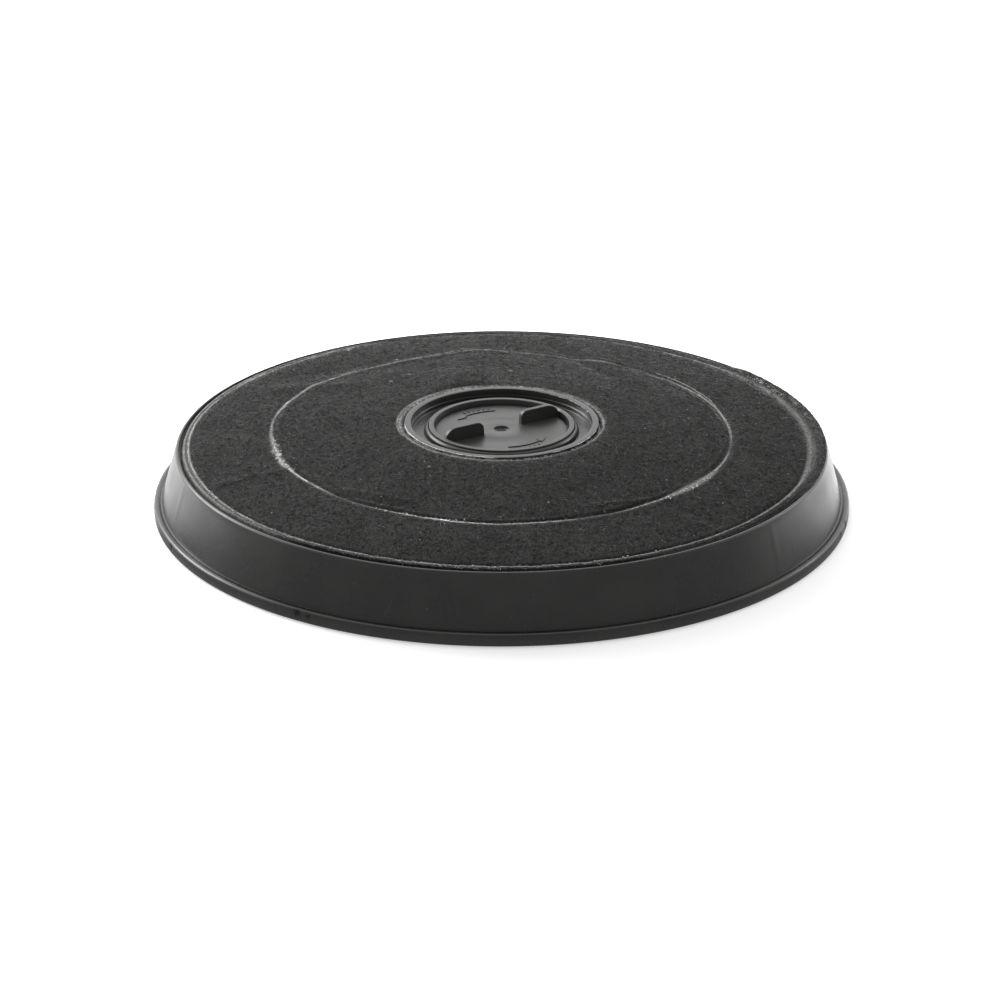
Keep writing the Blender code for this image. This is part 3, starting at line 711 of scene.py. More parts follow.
def shapeFrontFelt():
    look = feltLook
    angles = np.arange(look["segments"]) * 360 / look["segments"]
    hole = dome["holeRadius"]
    radii = ringSteps(feltRadius, hole + 0.1, ((104.2, 111), (75.8, 82.4), (hole, hole + 3.6)))
    top, light, over = frontFeltTop(radii, angles)
    feltFace["radii"], feltFace["heights"] = radii, top[:, :, 2].copy()
    turn = np.radians(angles)
    flat = polar(100, turn, 0.0)
    # The edge over the lip, and the ragged edge of the hole
    reach = look["overhangReach"] * over[0] * (0.85 + 0.15 * waves(flat, 1.2, 1.9))
    top[0] = polar(feltRadius + reach, turn, top[0, :, 2])
    fray = 0.16 + 0.16 * waves(flat * 0.34, 0.8, 2.2)
    for start, end, depth in look["frayed"]:
        fray += depth * arcBetween(angles, start, end, 10)
    holeR = hole + 0.05 + np.clip(fray, 0, None)
    for ring, share in ((-1, 1.0), (-2, 0.75), (-3, 0.5), (-4, 0.25)):
        top[ring] = polar(radii[ring] + (holeR - hole - 0.1) * share, turn, top[ring, :, 2])
    edgeZ = top[0, :, 2]
    under = dome["thickness"]
    low = [polar(holeR + 0.05, turn, top[-1, :, 2] - 0.5)]
    low.append(polar(hole + 0.6, turn, dome["hubHeight"] - under))
    for r in (dome["hubRadius"], 48, 58, 68, dome["middleRadius"], 88, 97, 104, feltRadius - 0.6):
        low.append(polar(r, turn, feltLine(r) - under))
    low.append(polar(feltRadius - 0.1, turn, dome["edgeHeight"] - under + 0.3 * over[0]))
    low.append(polar(feltRadius - 0.05, turn, np.minimum(22.25, edgeZ - 0.25)))
    low.append(polar(feltRadius + reach * 0.9, turn, np.where(over[0] > 0.02, 22.3, edgeZ - 0.15)))
    return clothPiece("front_felt_cloth", top, low, light)


def shapeBackFelt():
    look = feltLook
    outer = backBox[1].x / mm
    inner = dome["hubRadius"] - hub["tube"]
    low, high = backBox[0].z / mm, backBox[1].z / mm
    turn = np.arange(look["backSegments"]) * 2 * math.pi / look["backSegments"]
    r = np.arange(outer - 0.3, inner, -look["backStep"])[:, None] + 0 * turn
    flat = polar(r, turn, 0.0)
    pressed = bump(r - dome["middleRadius"], 0.9) + bump(r - outer + 1.4, 0.9) + bump(r - inner - 1.2, 0.9)
    z = low + 0.05 + 0.30 * pressed + 0.5 * look["tuft"] * (1 + waves(flat, look["tuftSize"], 21.3))
    z += 0.10 * (1 + waves(flat, 24, 2.5))
    side = low + 0.45
    corners = ((inner, side), (inner, high), (58, high), (88, high), (outer, high), (outer, side))
    rest = [polar(radius, turn, height) for radius, height in corners]
    return clothPiece("back_felt_cloth", polar(r, turn, z), rest, 0.5 * pressed)


# Fibres that stand off the felt: its nap, lint, crumbs and the melted threads along the welds
fibreLook = {
    "seed": 41,
    "thickness": 0.075,                  # drawn three times the real one, which wouldn't show
    "threadThickness": 0.34,
    "threadStep": 0.62,                  # between two points of a melted thread
    "threadSteps": 7,
    "nap": 14200,                        # short loops that stand all over the face
    "napThickness": 0.15,                # each stands for a wisp of five or six
    "napLength": (0.6, 1.6),
    "napRise": (0.15, 0.55),
    "spread": 0.32,                      # how far they lie from the carding's direction
    # Loose fibres in each place: how many, from what to what length, how high they rise, how pale they are
    "field": (900, (0.8, 3.0), 0.3, (0.0, 0.6)),
    "hubEdge": (1300, (0.5, 1.6), 0.3, (0.1, 1.0)),
    "outerWeld": (1500, (0.5, 1.8), 0.25, (0.0, 0.9)),
    "middleWeld": (1900, (0.4, 1.5), 0.22, (0.3, 1.0)),
    "overhang": (1500, (0.3, 1.1), 0.35, (0.0, 0.5)),
    "overhangArc": (-12, 37),
    # The same of a crumb and of a fibre in a knot, with how many times thicker it is instead of how many
    "crumb": ((0.3, 0.7), 0.3, (1.4, 2.0), 4.0),
    "knot": ((0.4, 0.9), 0.3, (0.8, 1.0), 2.2),
    # Crumbs of melted felt: from one angle to another, radius, how far they stray, how many
    "crumbs": ((23, 35, 108.4, 0.5, 40), (184, 196, 78.3, 0.6, 60), (192, 207, 78.6, 0.7, 90),
               (312, 330, 79.9, 0.5, 40), (236, 262, 78.6, 0.4, 26), (205, 300, 108.3, 0.4, 30)),
    # Pale knots: x, y
    "knots": ((-56.5, 87.0), (-38.5, 72.5), (-33.5, 50.5), (-39.5, 43.0), (3.0, 52.0), (-24.0, -40.0)),
    "hair": ((-16.0, 81.5), (-13.0, 78.5), (-10.5, 75.5), (-10.5, 71.5)),
}


def threads(rng, base, table, chance):   # the thin shiny thread of melted felt along a pressed line
    pitch, steps = fibreLook["threadStep"] / base, fibreLook["threadSteps"]
    starts = np.arange(0, 2 * math.pi, steps * pitch)
    angles = starts[:, None] + np.arange(steps + 1)[None, :] * pitch
    pale = aroundTheRing(np.degrees(angles), table, 1)
    kept = rng.uniform(0, 1, len(starts)) < pale.mean(axis=1) * chance
    angles, pale = angles[kept], pale[kept]
    wander = np.cumsum(rng.normal(0, 0.05, angles.shape), axis=1)
    r = base + aroundTheRing(np.degrees(angles), table, 3) + wander
    z = feltNap(r, angles) + rng.uniform(0.0, 0.10, angles.shape)
    return polar(r, angles, z), pale.mean(axis=1)


def curls(rng, r, angles, height, length, rise, heading, steps):     # short curved paths on the felt
    count = len(r)
    if heading is None:
        heading = rng.uniform(0, 2 * math.pi, count)
    bend = rng.uniform(-1.6, 1.6, count)
    t = np.linspace(0, 1, steps)[None, :]
    course = heading[:, None] + bend[:, None] * t
    stride = (length / (steps - 1))[:, None]
    x = (r * np.cos(angles))[:, None] + np.cumsum(np.cos(course) * stride, axis=1)
    y = (r * np.sin(angles))[:, None] + np.cumsum(np.sin(course) * stride, axis=1)
    z = (feltLine(r) + height)[:, None] + rise[:, None] * np.sin(math.pi * (0.2 + 0.65 * t))
    return np.stack([x, y, z], axis=2)


def shapeNap():                          # the felt's own short loops
    look = fibreLook
    rng = np.random.default_rng(look["seed"])
    r = np.sqrt(rng.uniform(37.0 ** 2, 105.5 ** 2, look["nap"]))
    angles = rng.uniform(0, 2 * math.pi, look["nap"])
    beside = np.abs(r - dome["middleRadius"] - aroundTheRing(np.degrees(angles), middleWeld, 3))
    r, angles = r[beside > 1.9], angles[beside > 1.9]
    count = len(r)
    lift = feltNap(r, angles) - feltLine(r) - 0.10
    heading = math.pi / 2 + rng.normal(0, look["spread"], count)
    rise = rng.uniform(*look["napRise"], count)
    paths = curls(rng, r, angles, lift, rng.uniform(*look["napLength"], count), rise, heading, 3)
    return fibrePiece("felt_nap", paths, look["napThickness"], "tint", rng.uniform(0, 1, count) ** 2)


def shapeFibres():                       # lint, crumbs and knots on the felt, and threads along its welds
    look = fibreLook
    rng = np.random.default_rng(look["seed"] + 1)
    paths, tints, widths = [], [], []

    def add(r, angles, lengths, rise, tint, thick=1.0, heading=None, lift=None):
        count = len(r)
        length = rng.uniform(*lengths, count)
        lift = feltNap(r, angles) - feltLine(r) if lift is None else lift
        paths.append(curls(rng, r, angles, lift, length, np.full(count, rise), heading, 4))
        tints.append(rng.uniform(*tint, count))
        widths.append(np.full(count, look["thickness"] * thick))

    def anywhere(count):
        return rng.uniform(0, 2 * math.pi, count)

    def alongRing(angles):
        return angles + math.pi / 2 + rng.uniform(-0.7, 0.7, len(angles))

    count, *style = look["field"]
    r = np.sqrt(rng.uniform(38 ** 2, 106 ** 2, count))
    angles = anywhere(count)
    add(r, angles, *style)
    count, *style = look["hubEdge"]
    angles = anywhere(count)
    r = dome["holeRadius"] + rng.uniform(0.2, 2.4, count)
    add(r, angles, *style, heading=alongRing(angles))
    count, *style = look["outerWeld"]
    angles = anywhere(count)
    angles = angles[rng.uniform(0, 1, count) < 0.25 + 0.75 * arcBetween(np.degrees(angles), 150, 285, 15)]
    stray = aroundTheRing(np.degrees(angles), outerWelds, 3) + rng.normal(0.4, 0.7, len(angles))
    r = np.minimum(feltLook["outerWeld"] + stray, feltRadius - 1.2)
    add(r, angles, *style, heading=alongRing(angles))
    count, *style = look["middleWeld"]
    angles = anywhere(4 * count)
    kept = rng.uniform(0, 1, 4 * count) < aroundTheRing(np.degrees(angles), middleWeld, 1) ** 1.5
    angles = angles[kept][:count]
    width = aroundTheRing(np.degrees(angles), middleWeld, 2)
    stray = aroundTheRing(np.degrees(angles), middleWeld, 3) + rng.normal(0, 0.75, len(angles)) * width
    r = dome["middleRadius"] + stray
    add(r, angles, *style, heading=alongRing(angles))
    count, *style = look["overhang"]
    angles = np.radians(rng.uniform(*look["overhangArc"], count))
    r = feltRadius + rng.uniform(-3.4, 0.9, count)
    add(r, angles, *style, lift=0.55 * smooth(r, feltRadius - 3, feltRadius))
    for start, end, radius, stray, number in look["crumbs"]:
        angles = np.radians(rng.uniform(start, end, number))
        r = radius + rng.normal(0, stray, number)
        add(r, angles, *look["crumb"])
    for x, y in look["knots"]:
        r = np.full(7, math.hypot(x, y)) + rng.uniform(-0.3, 0.3, 7)
        angles = np.full(7, math.atan2(y, x))
        add(r, angles, *look["knot"])
    paths.append(np.array([[(x, y, feltLine(math.hypot(x, y)) + 2.0) for x, y in look["hair"]]]))
    tints.append(np.array([0.8]))
    widths.append(np.array([look["thickness"]]))
    lint = fibrePiece("felt_lint", np.vstack(paths), np.concatenate(widths), "tint", np.concatenate(tints))
    middle, middleTint = threads(rng, dome["middleRadius"], middleWeld, 1.5)
    second, secondTint = threads(rng, dome["middleRadius"] + 1.5, secondWeld, 1.8)
    outer, outerTint = threads(rng, feltLook["outerWeld"], outerWelds, 1.3)
    thickness = look["threadThickness"] * (0.55 + np.concatenate([middleTint, secondTint, outerTint]))
    tint = np.concatenate([1.7 * middleTint, 1.3 * secondTint, outerTint])
    melted = fibrePiece("felt_threads", np.vstack([middle, second, outer]), thickness, "tint", tint)
    return lint, melted


# The knob: a dished cup with two finger fins, on a barrel that the motor's boss enters
knobLook = {
    "segments": 288,
    "rimTop": 28.7,
    "rimWidth": 1.8,
    "floor": 26.8,
    "draft": 0.1,
    "gutter": 0.85,                      # narrow gutter round the cup's floor, dark from above
    "floorThickness": 1.8,
    "base": 24.5,
    "edge": 0.2,
    "discRadius": 9.0,
    "discRise": 0.1,
    "dimpleRadius": 2.6,
    "dimpleDepth": 1.2,
    "barrel": 20.9,
    "barrelWall": 1.9,
    "finAngle": 31.8,
    "finOffset": 0.6,
    "finThickness": 1.8,
    "finStart": 7.9,
    "finRound": 0.45,
    "arrowRadius": 17.2,
    "arrowWidth": 0.45,
    "arrowWing": 1.3,
    "arrowHeight": 0.3,
    "arrow": (97.5, 139.0, 152.0),       # where it starts, its neck and its tip
    "tickAngles": (104, 109.5, 115, 120.5, 126, 131.5),
    "tickLengths": (1.5, 0.9, 1.2, 0.9, 1.5, 1.2),
    "tickRadius": 18.9,
    "tickWidth": 0.38,
    "hooks": (45, 135, 225, 315),        # snap hooks that hold the knob in its seat
    "lugs": (0, 180),                    # bayonet lugs inside the barrel
    "hookSweep": 9,                      # to each side
    "lugSweep": 15,
    "scuff": (32, 35),                   # where the rim has a pale scuff
}


def knobProfile():
    look = knobLook
    soft = look["edge"]
    floor = look["floor"]
    disc = floor + look["discRise"]
    pit = disc - look["dimpleDepth"]
    rimInner = knobRadius - look["rimWidth"]
    under = floor - look["floorThickness"]
    barrelInner = look["barrel"] - look["barrelWall"]
    # From the dimple in the middle out over the floor and the gutter to the rim, then down the barrel
    points = [(0.6, pit), (1.6, pit), (2.1, pit + 0.12), (2.45, pit + 0.40), (2.6, pit + 0.85)]
    points += arc(look["dimpleRadius"] + 0.15, disc - 0.15, 0.15, 180, 90, 3)
    points += [(look["discRadius"], disc), (look["discRadius"] + 0.3, floor)]
    points += [(14.0, floor), (19.0, floor)]
    foot = rimInner - look["draft"]
    points += [(foot - look["gutter"], floor), (foot - look["gutter"] + 0.06, floor - 0.06)]
    points += [(foot - look["gutter"] + 0.1, floor - 0.6), (foot - 0.02, floor - 0.6)]
    points += arc(rimInner + soft, look["rimTop"] - soft, soft, 165, 90, 3)
    points += arc(knobRadius - soft, look["rimTop"] - soft, soft, 90, 0, 3)
    points += [(knobRadius, look["base"]), (look["barrel"], look["base"])]
    points += [(look["barrel"], knobFoot + soft), (look["barrel"] - soft, knobFoot)]
    points += [(barrelInner, knobFoot), (barrelInner, under)]
    points += [(4.5, under), (4.5, under - 0.8), (0.6, under - 0.8)]
    return points


def finOutline():                        # distance along the fin and height
    look = knobLook
    root = look["floor"] - 0.5
    rimInner = knobRadius - look["rimWidth"]
    end = math.sqrt(rimInner ** 2 - look["finOffset"] ** 2) + look["edge"]
    points = [(end, root), (end, look["rimTop"] - look["edge"])]
    points += arc(end - 5.0, finTop - 5.0, 5.0, 25, 90, 8)
    points += arc(look["finStart"] + 2.7, finTop - 2.7, 2.7, 90, 180, 8)
    points.append((look["finStart"], root))
    return points


def shapeFins():
    look = knobLook
    outline = finOutline()
    bm = bmesh.new()
    half = look["finThickness"] / 2
    for turn in (look["finAngle"], look["finAngle"] + 180):
        sides = (look["finOffset"] - half, look["finOffset"] + half)
        addBlock(bm, [[(*beside(u, v, turn), z) for u, z in outline] for v in sides])
    bmesh.ops.recalc_face_normals(bm, faces=bm.faces)
    low = (look["floor"] - 0.3) * mm
    corners = [e for e in bm.edges
               if e.calc_face_angle() > math.radians(60) and min(v.co.z for v in e.verts) > low]
    bmesh.ops.bevel(bm, geom=corners, offset=look["finRound"] * mm, segments=4, profile=0.5,
                    affect="EDGES", clamp_overlap=True)
    return bm


def shapeMarks():                        # raised arrows, and plain ticks beside them
    look = knobLook
    low, high = look["floor"] - 0.5, look["floor"] + look["arrowHeight"]
    start, neck, tip = look["arrow"]
    bm = bmesh.new()
    middle, wing, halfLine = look["arrowRadius"], look["arrowWing"], look["arrowWidth"] / 2
    angles = [start + (neck - start) * i / 14 for i in range(15)]
    half, foot = look["tickWidth"] / 2, look["tickRadius"]
    for turn in (0, 180):
        outline = [spot(middle + halfLine, turn + angle) for angle in angles]
        outline += [spot(middle + wing, turn + neck), spot(middle, turn + tip)]
        outline.append(spot(middle - wing, turn + neck))
        outline += [spot(middle - halfLine, turn + angle) for angle in reversed(angles)]
        addBlock(bm, [[(x, y, z) for x, y in outline] for z in (low, high)])
        for angle, length in zip(look["tickAngles"], look["tickLengths"]):
            corners = ((foot, -half), (foot + length, -half), (foot + length, half), (foot, half))
            addBlock(bm, [[(*beside(u, v, turn + angle), z) for u, v in corners] for z in (low, high)])
    return bm


def shapeKnob():
    look = knobLook
    mesh = ringMesh("turn_knob", turnedRings(knobProfile(), look["segments"]), closed=False)
    piece = finishPiece("knob_with_fins", mesh)
    for block in (shapeFins(), shapeMarks()):
        cutOrJoin(piece, block, "UNION")
    catches = bmesh.new()
    underSeat = hub["seatHeight"] - housingLook["plate"]
    root = look["barrel"] - 0.5
    reach = hub["bore"] + 1.1
    hook = [(root, underSeat - 4.8), (reach, underSeat - 1.6)]
    hook += [(reach, underSeat - 0.3), (root, underSeat - 0.3)]
    inner = look["barrel"] - look["barrelWall"]
    lug = [(inner - 2.6, knobFoot + 0.4), (inner + 0.5, knobFoot + 0.4)]
    lug += [(inner + 0.5, knobFoot + 2.9), (inner - 2.6, knobFoot + 2.9)]
    for middle in look["hooks"]:
        addSector(catches, hook, middle - look["hookSweep"], middle + look["hookSweep"], 12)
    for middle in look["lugs"]:
        addSector(catches, lug, middle - look["lugSweep"], middle + look["lugSweep"], 16)
    cutOrJoin(piece, catches, "UNION")
    points = pointsOf(piece)
    r = np.hypot(points[:, 0], points[:, 1])
    angle = np.degrees(np.arctan2(points[:, 1], points[:, 0])) % 360
    rim = (points[:, 2] > look["rimTop"] - 0.3) * bump(r - knobRadius + look["rimWidth"], 0.2)
    paintPoints(piece, "paleWearAndHighlight", 0.6 * rim * arcBetween(angle, *look["scuff"], 1))
    return piece


# The finishes, each named for what the real one is
polypropyleneLook = {
    "base": "#2c2c2b",
    # this colour also paints the floor's reflection on the flange's foot
    "dust": "#8c8a84",
    # pale wear, and the painted highlight along the hub band's outer edge
    "scuff": "#d8d7d2",
    # colour of the darker dents
    "darkDent": "#0d0d0c",
    "paintedReflectionPale": 0.06,                   # painted reflection of the floor on the flange's foot
    "film": 0.035,                       # how much dust lies over the cloudy patches
    "roughness": 0.30,
    "roughnessSpread": 0.14,
    "haze": 22.0,                        # size of the cloudy patches in the gloss
    "grain": 0.45,                       # the steel mould's fine texture, drawn about twice as coarse
    "grainDepth": 0.006,
    "scratchWidth": 0.35,                # drawn wider than the real hairlines
    "scratchLength": 14.0,
    "scratchTilt": 1.1,
    "scratchPale": 0.16,
    "dustPale": 0.5,
    "dustGap": 2.6,
    "specular": 0.6,
}
knobPlasticLook = {**polypropyleneLook, "base": "#383837", "roughness": 0.40, "grainDepth": 0.008}
feltColours = {
    "shadedHollow": "#0f0f0f",                 # painted shade between the tufts
    "tuft": "#2e2e2d",
    "strand": "#525251",
    "pressed": "#dadad8",
    "lint": "#b4b4b2",
    "tuftSize": 0.72,
    "strandWidth": 0.42,                 # a dozen real fibres wide, as single ones wouldn't show
    "strandLength": 2.4,
    "cloud": 17.0,
    "relief": 0.16,
    "lintGap": 2.6,
}
napColours = {"dark": "#2b2b2a", "pale": "#747472", "roughness": 0.8, "specular": 0.15}
fibreColours = {"dark": "#383837", "pale": "#dcdcda", "roughness": 0.6, "specular": 0.5}
threadColours = {"dark": "#3c3c3b", "pale": "#ffffff", "roughness": 0.4, "specular": 0.5}
granuleLook = {"base": "#171716", "edge": "#3a3a38", "grain": 2.4, "relief": 0.9}


# Satin black plastic from a fine-textured steel mould: its gloss is clouded and finely scratched
def mouldedPolypropylene(name, look):
    material, tree = newMaterial(name)
    place = addNode(tree, "TexCoord", out="Object")
    haze = addNode(tree, "TexNoise", {"Vector": place, "Scale": perMm(look["haze"]), "Detail": 3.0})
    grain = addNode(tree, "TexNoise", {"Vector": place, "Scale": perMm(look["grain"]), "Detail": 2.0})
    # Round the axis and up: hairlines run along the wall as they would from wiping it
    apart = addNode(tree, "SeparateXYZ", {"Vector": place}, out=None)
    back = addNode(tree, "Math", {0: apart.outputs["Y"], 1: -1.0}, operation="MULTIPLY")
    angle = addNode(tree, "Math", {0: apart.outputs["X"], 1: back}, operation="ARCTAN2")
    away = addNode(tree, "VectorMath", {0: place}, out="Value", operation="LENGTH")
    along = addNode(tree, "Math", {0: angle, 1: away}, operation="MULTIPLY")
    unrolled = addNode(tree, "CombineXYZ", {"X": along, "Y": apart.outputs["Z"], "Z": away})
    laid = addNode(tree, "Mapping", {
        "Vector": unrolled,
        "Rotation": (0.0, 0.0, look["scratchTilt"]),
        "Scale": (look["scratchLength"] * mm, look["scratchWidth"] * mm, 6.0 * mm),
    }, vector_type="TEXTURE")
    lines = addNode(tree, "TexNoise", {"Vector": laid, "Scale": 1.0, "Detail": 1.0})
    scratch = addNode(tree, "MapRange", {"Value": lines, 1: 0.76, 2: 0.82})
    specks = addNode(tree, "TexVoronoi", {"Vector": place, "Scale": perMm(look["dustGap"])}, out=None)
    speck = addNode(tree, "MapRange", {"Value": specks.outputs["Distance"], 1: 0.09, 2: 0.05})
    chosen = addNode(tree, "SeparateColor", {0: specks.outputs["Color"]})
    few = addNode(tree, "MapRange", {"Value": chosen, 1: 0.80, 2: 0.86})
    dust = addNode(tree, "Math", {0: speck, 1: few}, operation="MULTIPLY")
    paleWearAndHighlight, darkDent, paintedReflection = [addNode(tree, "Attribute", out="Fac", attribute_name=share)
                          for share in ("paleWearAndHighlight", "darkDent", "paintedReflection")]
    film = addNode(tree, "MapRange", {"Value": haze, 1: 0.42, 2: 0.70, 3: 0.0, 4: look["film"]})
    light = film
    # pale shares: scratches, dust specks and the painted reflection of the floor on the flange's foot
    pales = ((scratch, look["scratchPale"]), (dust, look["dustPale"]), (paintedReflection, look["paintedReflectionPale"]))
    for share, amount in pales:
        light = addNode(tree, "Math", {0: share, 1: amount, 2: light}, operation="MULTIPLY_ADD")
    colour = look["base"]
    # mixes in dust with the painted floor reflection, the darker dents, and pale wear with its painted
    # highlight
    for share, layer in ((light, "dust"), (darkDent, "darkDent"), (paleWearAndHighlight, "scuff")):
        colour = addNode(tree, "Mix", {0: share, 6: colour, 7: look[layer]}, out=2, data_type="RGBA")
    low = look["roughness"] - look["roughnessSpread"] / 2
    high = look["roughness"] + look["roughnessSpread"] / 2
    gloss = addNode(tree, "MapRange", {"Value": haze, 1: 0.3, 2: 0.7, 3: low, 4: high})
    for share, amount in ((scratch, 0.10), (darkDent, 0.4)):
        gloss = addNode(tree, "Math", {0: share, 1: amount, 2: gloss}, operation="MULTIPLY_ADD")
    relief = addNode(tree, "Bump", {"Height": grain, "Strength": 1.0, "Distance": look["grainDepth"] * mm})
    shine = addNode(tree, "MapRange", {"Value": darkDent, 3: look["specular"], 4: 0.04})
    shader = addNode(tree, "BsdfPrincipled", {
        "Base Color": colour, "Roughness": gloss, "IOR": 1.49, "Normal": relief,
        "Specular IOR Level": shine,
    })
    addNode(tree, "OutputMaterial", {"Surface": shader})
    return material


# Charcoal nonwoven, needle-punched: matt tufts with hollows between, painted darker as painted shade,
# crossing strands and stray pale lint
def needledFelt(name):
    look = feltColours
    material, tree = newMaterial(name)
    place = addNode(tree, "TexCoord", out="Object")
    swirl = addNode(tree, "TexNoise", {"Vector": place, "Scale": perMm(3.5), "Detail": 1.0}, out="Color")
    centred = addNode(tree, "VectorMath", {0: swirl, 1: (0.5, 0.5, 0.5)}, operation="SUBTRACT")
    bent = addNode(tree, "VectorMath", {0: centred, 1: (1.8 * mm,) * 3, 2: place},
                   operation="MULTIPLY_ADD")
    strands = 0.0
    for turn in (0.5, 1.3, 1.85):        # three layings of fibre, crossing
        laid = addNode(tree, "Mapping", {
            "Vector": bent,
            "Location": (turn * mm, 2 * turn * mm, 0.0),
            "Rotation": (0.0, 0.0, turn),
            "Scale": (look["strandLength"] * mm, look["strandWidth"] * mm, 1.0 * mm),
        }, vector_type="TEXTURE")
        lines = addNode(tree, "TexNoise", {"Vector": laid, "Scale": 1.0, "Detail": 2.0})
        sharp = addNode(tree, "MapRange", {"Value": lines, 1: 0.50, 2: 0.72})
        strands = addNode(tree, "Math", {0: strands, 1: sharp}, operation="MAXIMUM")
    carded = addNode(tree, "Mapping", {"Vector": bent, "Scale": (1.0, feltLook["carding"], 1.0)})
    tufts = addNode(tree, "TexNoise", {"Vector": carded, "Scale": perMm(look["tuftSize"]), "Detail": 3.0,
                                       "Roughness": 0.6})
    cloud = addNode(tree, "TexNoise", {"Vector": place, "Scale": perMm(look["cloud"]), "Detail": 2.0})
    height = addNode(tree, "Math", {0: strands, 1: 0.35, 2: tufts}, operation="MULTIPLY_ADD")
    # painted shade: the colour runs from the dark hollows up to the lighter tops with the tufts' height
    tufted = addNode(tree, "MapRange", {"Value": tufts, 1: 0.34, 2: 0.66})
    faint = addNode(tree, "Math", {0: strands, 1: 0.30}, operation="MULTIPLY")
    patch = addNode(tree, "MapRange", {"Value": cloud, 1: 0.3, 2: 0.7, 3: 0.86, 4: 1.12})
    cells = addNode(tree, "TexVoronoi", {"Vector": bent, "Scale": perMm(look["lintGap"])}, out=None)
    dot = addNode(tree, "MapRange", {"Value": cells.outputs["Distance"], 1: 0.10, 2: 0.05})
    chosen = addNode(tree, "SeparateColor", {0: cells.outputs["Color"]})
    few = addNode(tree, "MapRange", {"Value": chosen, 1: 0.78, 2: 0.98})
    lint = addNode(tree, "Math", {0: dot, 1: few}, operation="MULTIPLY")
    pressed = addNode(tree, "Attribute", out="Fac", attribute_name="pressed")
    flecks = addNode(tree, "TexNoise", {"Vector": place, "Scale": perMm(0.75), "Detail": 2.0})
    broken = addNode(tree, "MapRange", {"Value": flecks, 1: 0.38, 2: 0.64, 3: 0.5, 4: 1.25})
    melted = addNode(tree, "Math", {0: pressed, 1: broken}, operation="MULTIPLY", use_clamp=True)
    paler = addNode(tree, "Math", {0: melted, 1: 0.9}, operation="MULTIPLY")
    colour = look["shadedHollow"]
    for share, layer in ((tufted, "tuft"), (faint, "strand"), (lint, "lint"), (paler, "pressed")):
        colour = addNode(tree, "Mix", {0: share, 6: colour, 7: look[layer]}, out=2, data_type="RGBA")
        if layer == "strand":            # lighter and darker clouds, under the lint
            colour = addNode(tree, "VectorMath", {0: colour, 3: patch}, operation="SCALE")
    rough = addNode(tree, "MapRange", {"Value": melted, 1: 0.0, 2: 1.0, 3: 0.75, 4: 0.55})
    relief = addNode(tree, "Bump", {"Height": height, "Strength": 1.0, "Distance": look["relief"] * mm})
    shader = addNode(tree, "BsdfPrincipled", {
        "Base Color": colour, "Roughness": rough, "IOR": 1.45, "Normal": relief,
        "Specular IOR Level": 0.05, "Sheen Weight": 1.0, "Sheen Roughness": 0.14,
    })
    addNode(tree, "OutputMaterial", {"Surface": shader})
    return material


def looseFibre(name, look):              # polyester fibres, lint and melted threads: pale, slightly shiny
    material, tree = newMaterial(name)
    place = addNode(tree, "TexCoord", out="Object")
    tint = addNode(tree, "Attribute", out="Fac", attribute_name="tint")
    patch = addNode(tree, "TexNoise", {"Vector": place, "Scale": perMm(0.8), "Detail": 1.0})
    share = addNode(tree, "Math", {0: tint, 1: patch}, operation="MULTIPLY", use_clamp=True)
    colour = addNode(tree, "Mix", {0: share, 6: look["dark"], 7: look["pale"]}, out=2, data_type="RGBA")
    shader = addNode(tree, "BsdfPrincipled", {
        "Base Color": colour, "Roughness": look["roughness"], "IOR": 1.5,
        "Specular IOR Level": look["specular"],
    })
    addNode(tree, "OutputMaterial", {"Surface": shader})
    return material


# Crushed coconut-shell granules: dull black, with chips of slightly different greys
def activatedCarbon(name):
    look = granuleLook
    material, tree = newMaterial(name)
    place = addNode(tree, "TexCoord", out="Object")
    chips = addNode(tree, "TexVoronoi", {"Vector": place, "Scale": perMm(look["grain"])}, out=None)
    tone = addNode(tree, "SeparateColor", {0: chips.outputs["Color"]})
    colour = addNode(tree, "Mix", {0: tone, 6: look["base"], 7: look["edge"]}, out=2, data_type="RGBA")
    rough = addNode(tree, "MapRange", {"Value": tone, 3: 0.55, 4: 0.9})
    relief = addNode(tree, "Bump", {
        "Height": chips.outputs["Distance"], "Strength": 0.9, "Distance": look["relief"] * mm,
    }, invert=True)
    shader = addNode(tree, "BsdfPrincipled", {"Base Color": colour, "Roughness": rough, "Normal": relief})
    addNode(tree, "OutputMaterial", {"Surface": shader})
    return material


# A white room and floor. Black gloss shows what it mirrors, so each part of the room has its own brightness
studio = {
    "room": (0.33, 1.33),                # the white room's brightness, on the camera's side and behind
    "roomTurn": (-0.30, 0.75),           # where the one turns into the other, as the sine of the direction
    "lamps": (                           # name, place, width, depth, radiance, whether gloss mirrors it
        ("overhead", (0.0, 0.30, 1.60), 1.5, 1.2, 0.45, True),
        ("left_softbox", (-1.16, 0.78, 0.76), 0.85, 0.70, 7.0, True),
        ("right_softbox", (1.22, 0.77, 0.70), 0.36, 0.55, 3.6, True),
        ("back_fill", (-0.14, 0.27, 0.20), 0.60, 0.20, 6.4, False),
    ),
    "floorColour": "#e6e6e6",
    "floorReach": 4.0,
    "floorGlow": 0.46,                   # seen by the camera alone, so that the floor ends up white
    "glossOnlyFloorGlow": (0.38, 1.95),          # painted reflection: the floor glows for gloss alone, dim in front and bright behind
    "floorTurn": (-0.037, 0.022),        # metres from the filter's middle
}
cameraView = {"distance": 1200, "elevation": 22.73, "lens": 124.49, "shiftX": -0.0016, "shiftY": 0.0006}


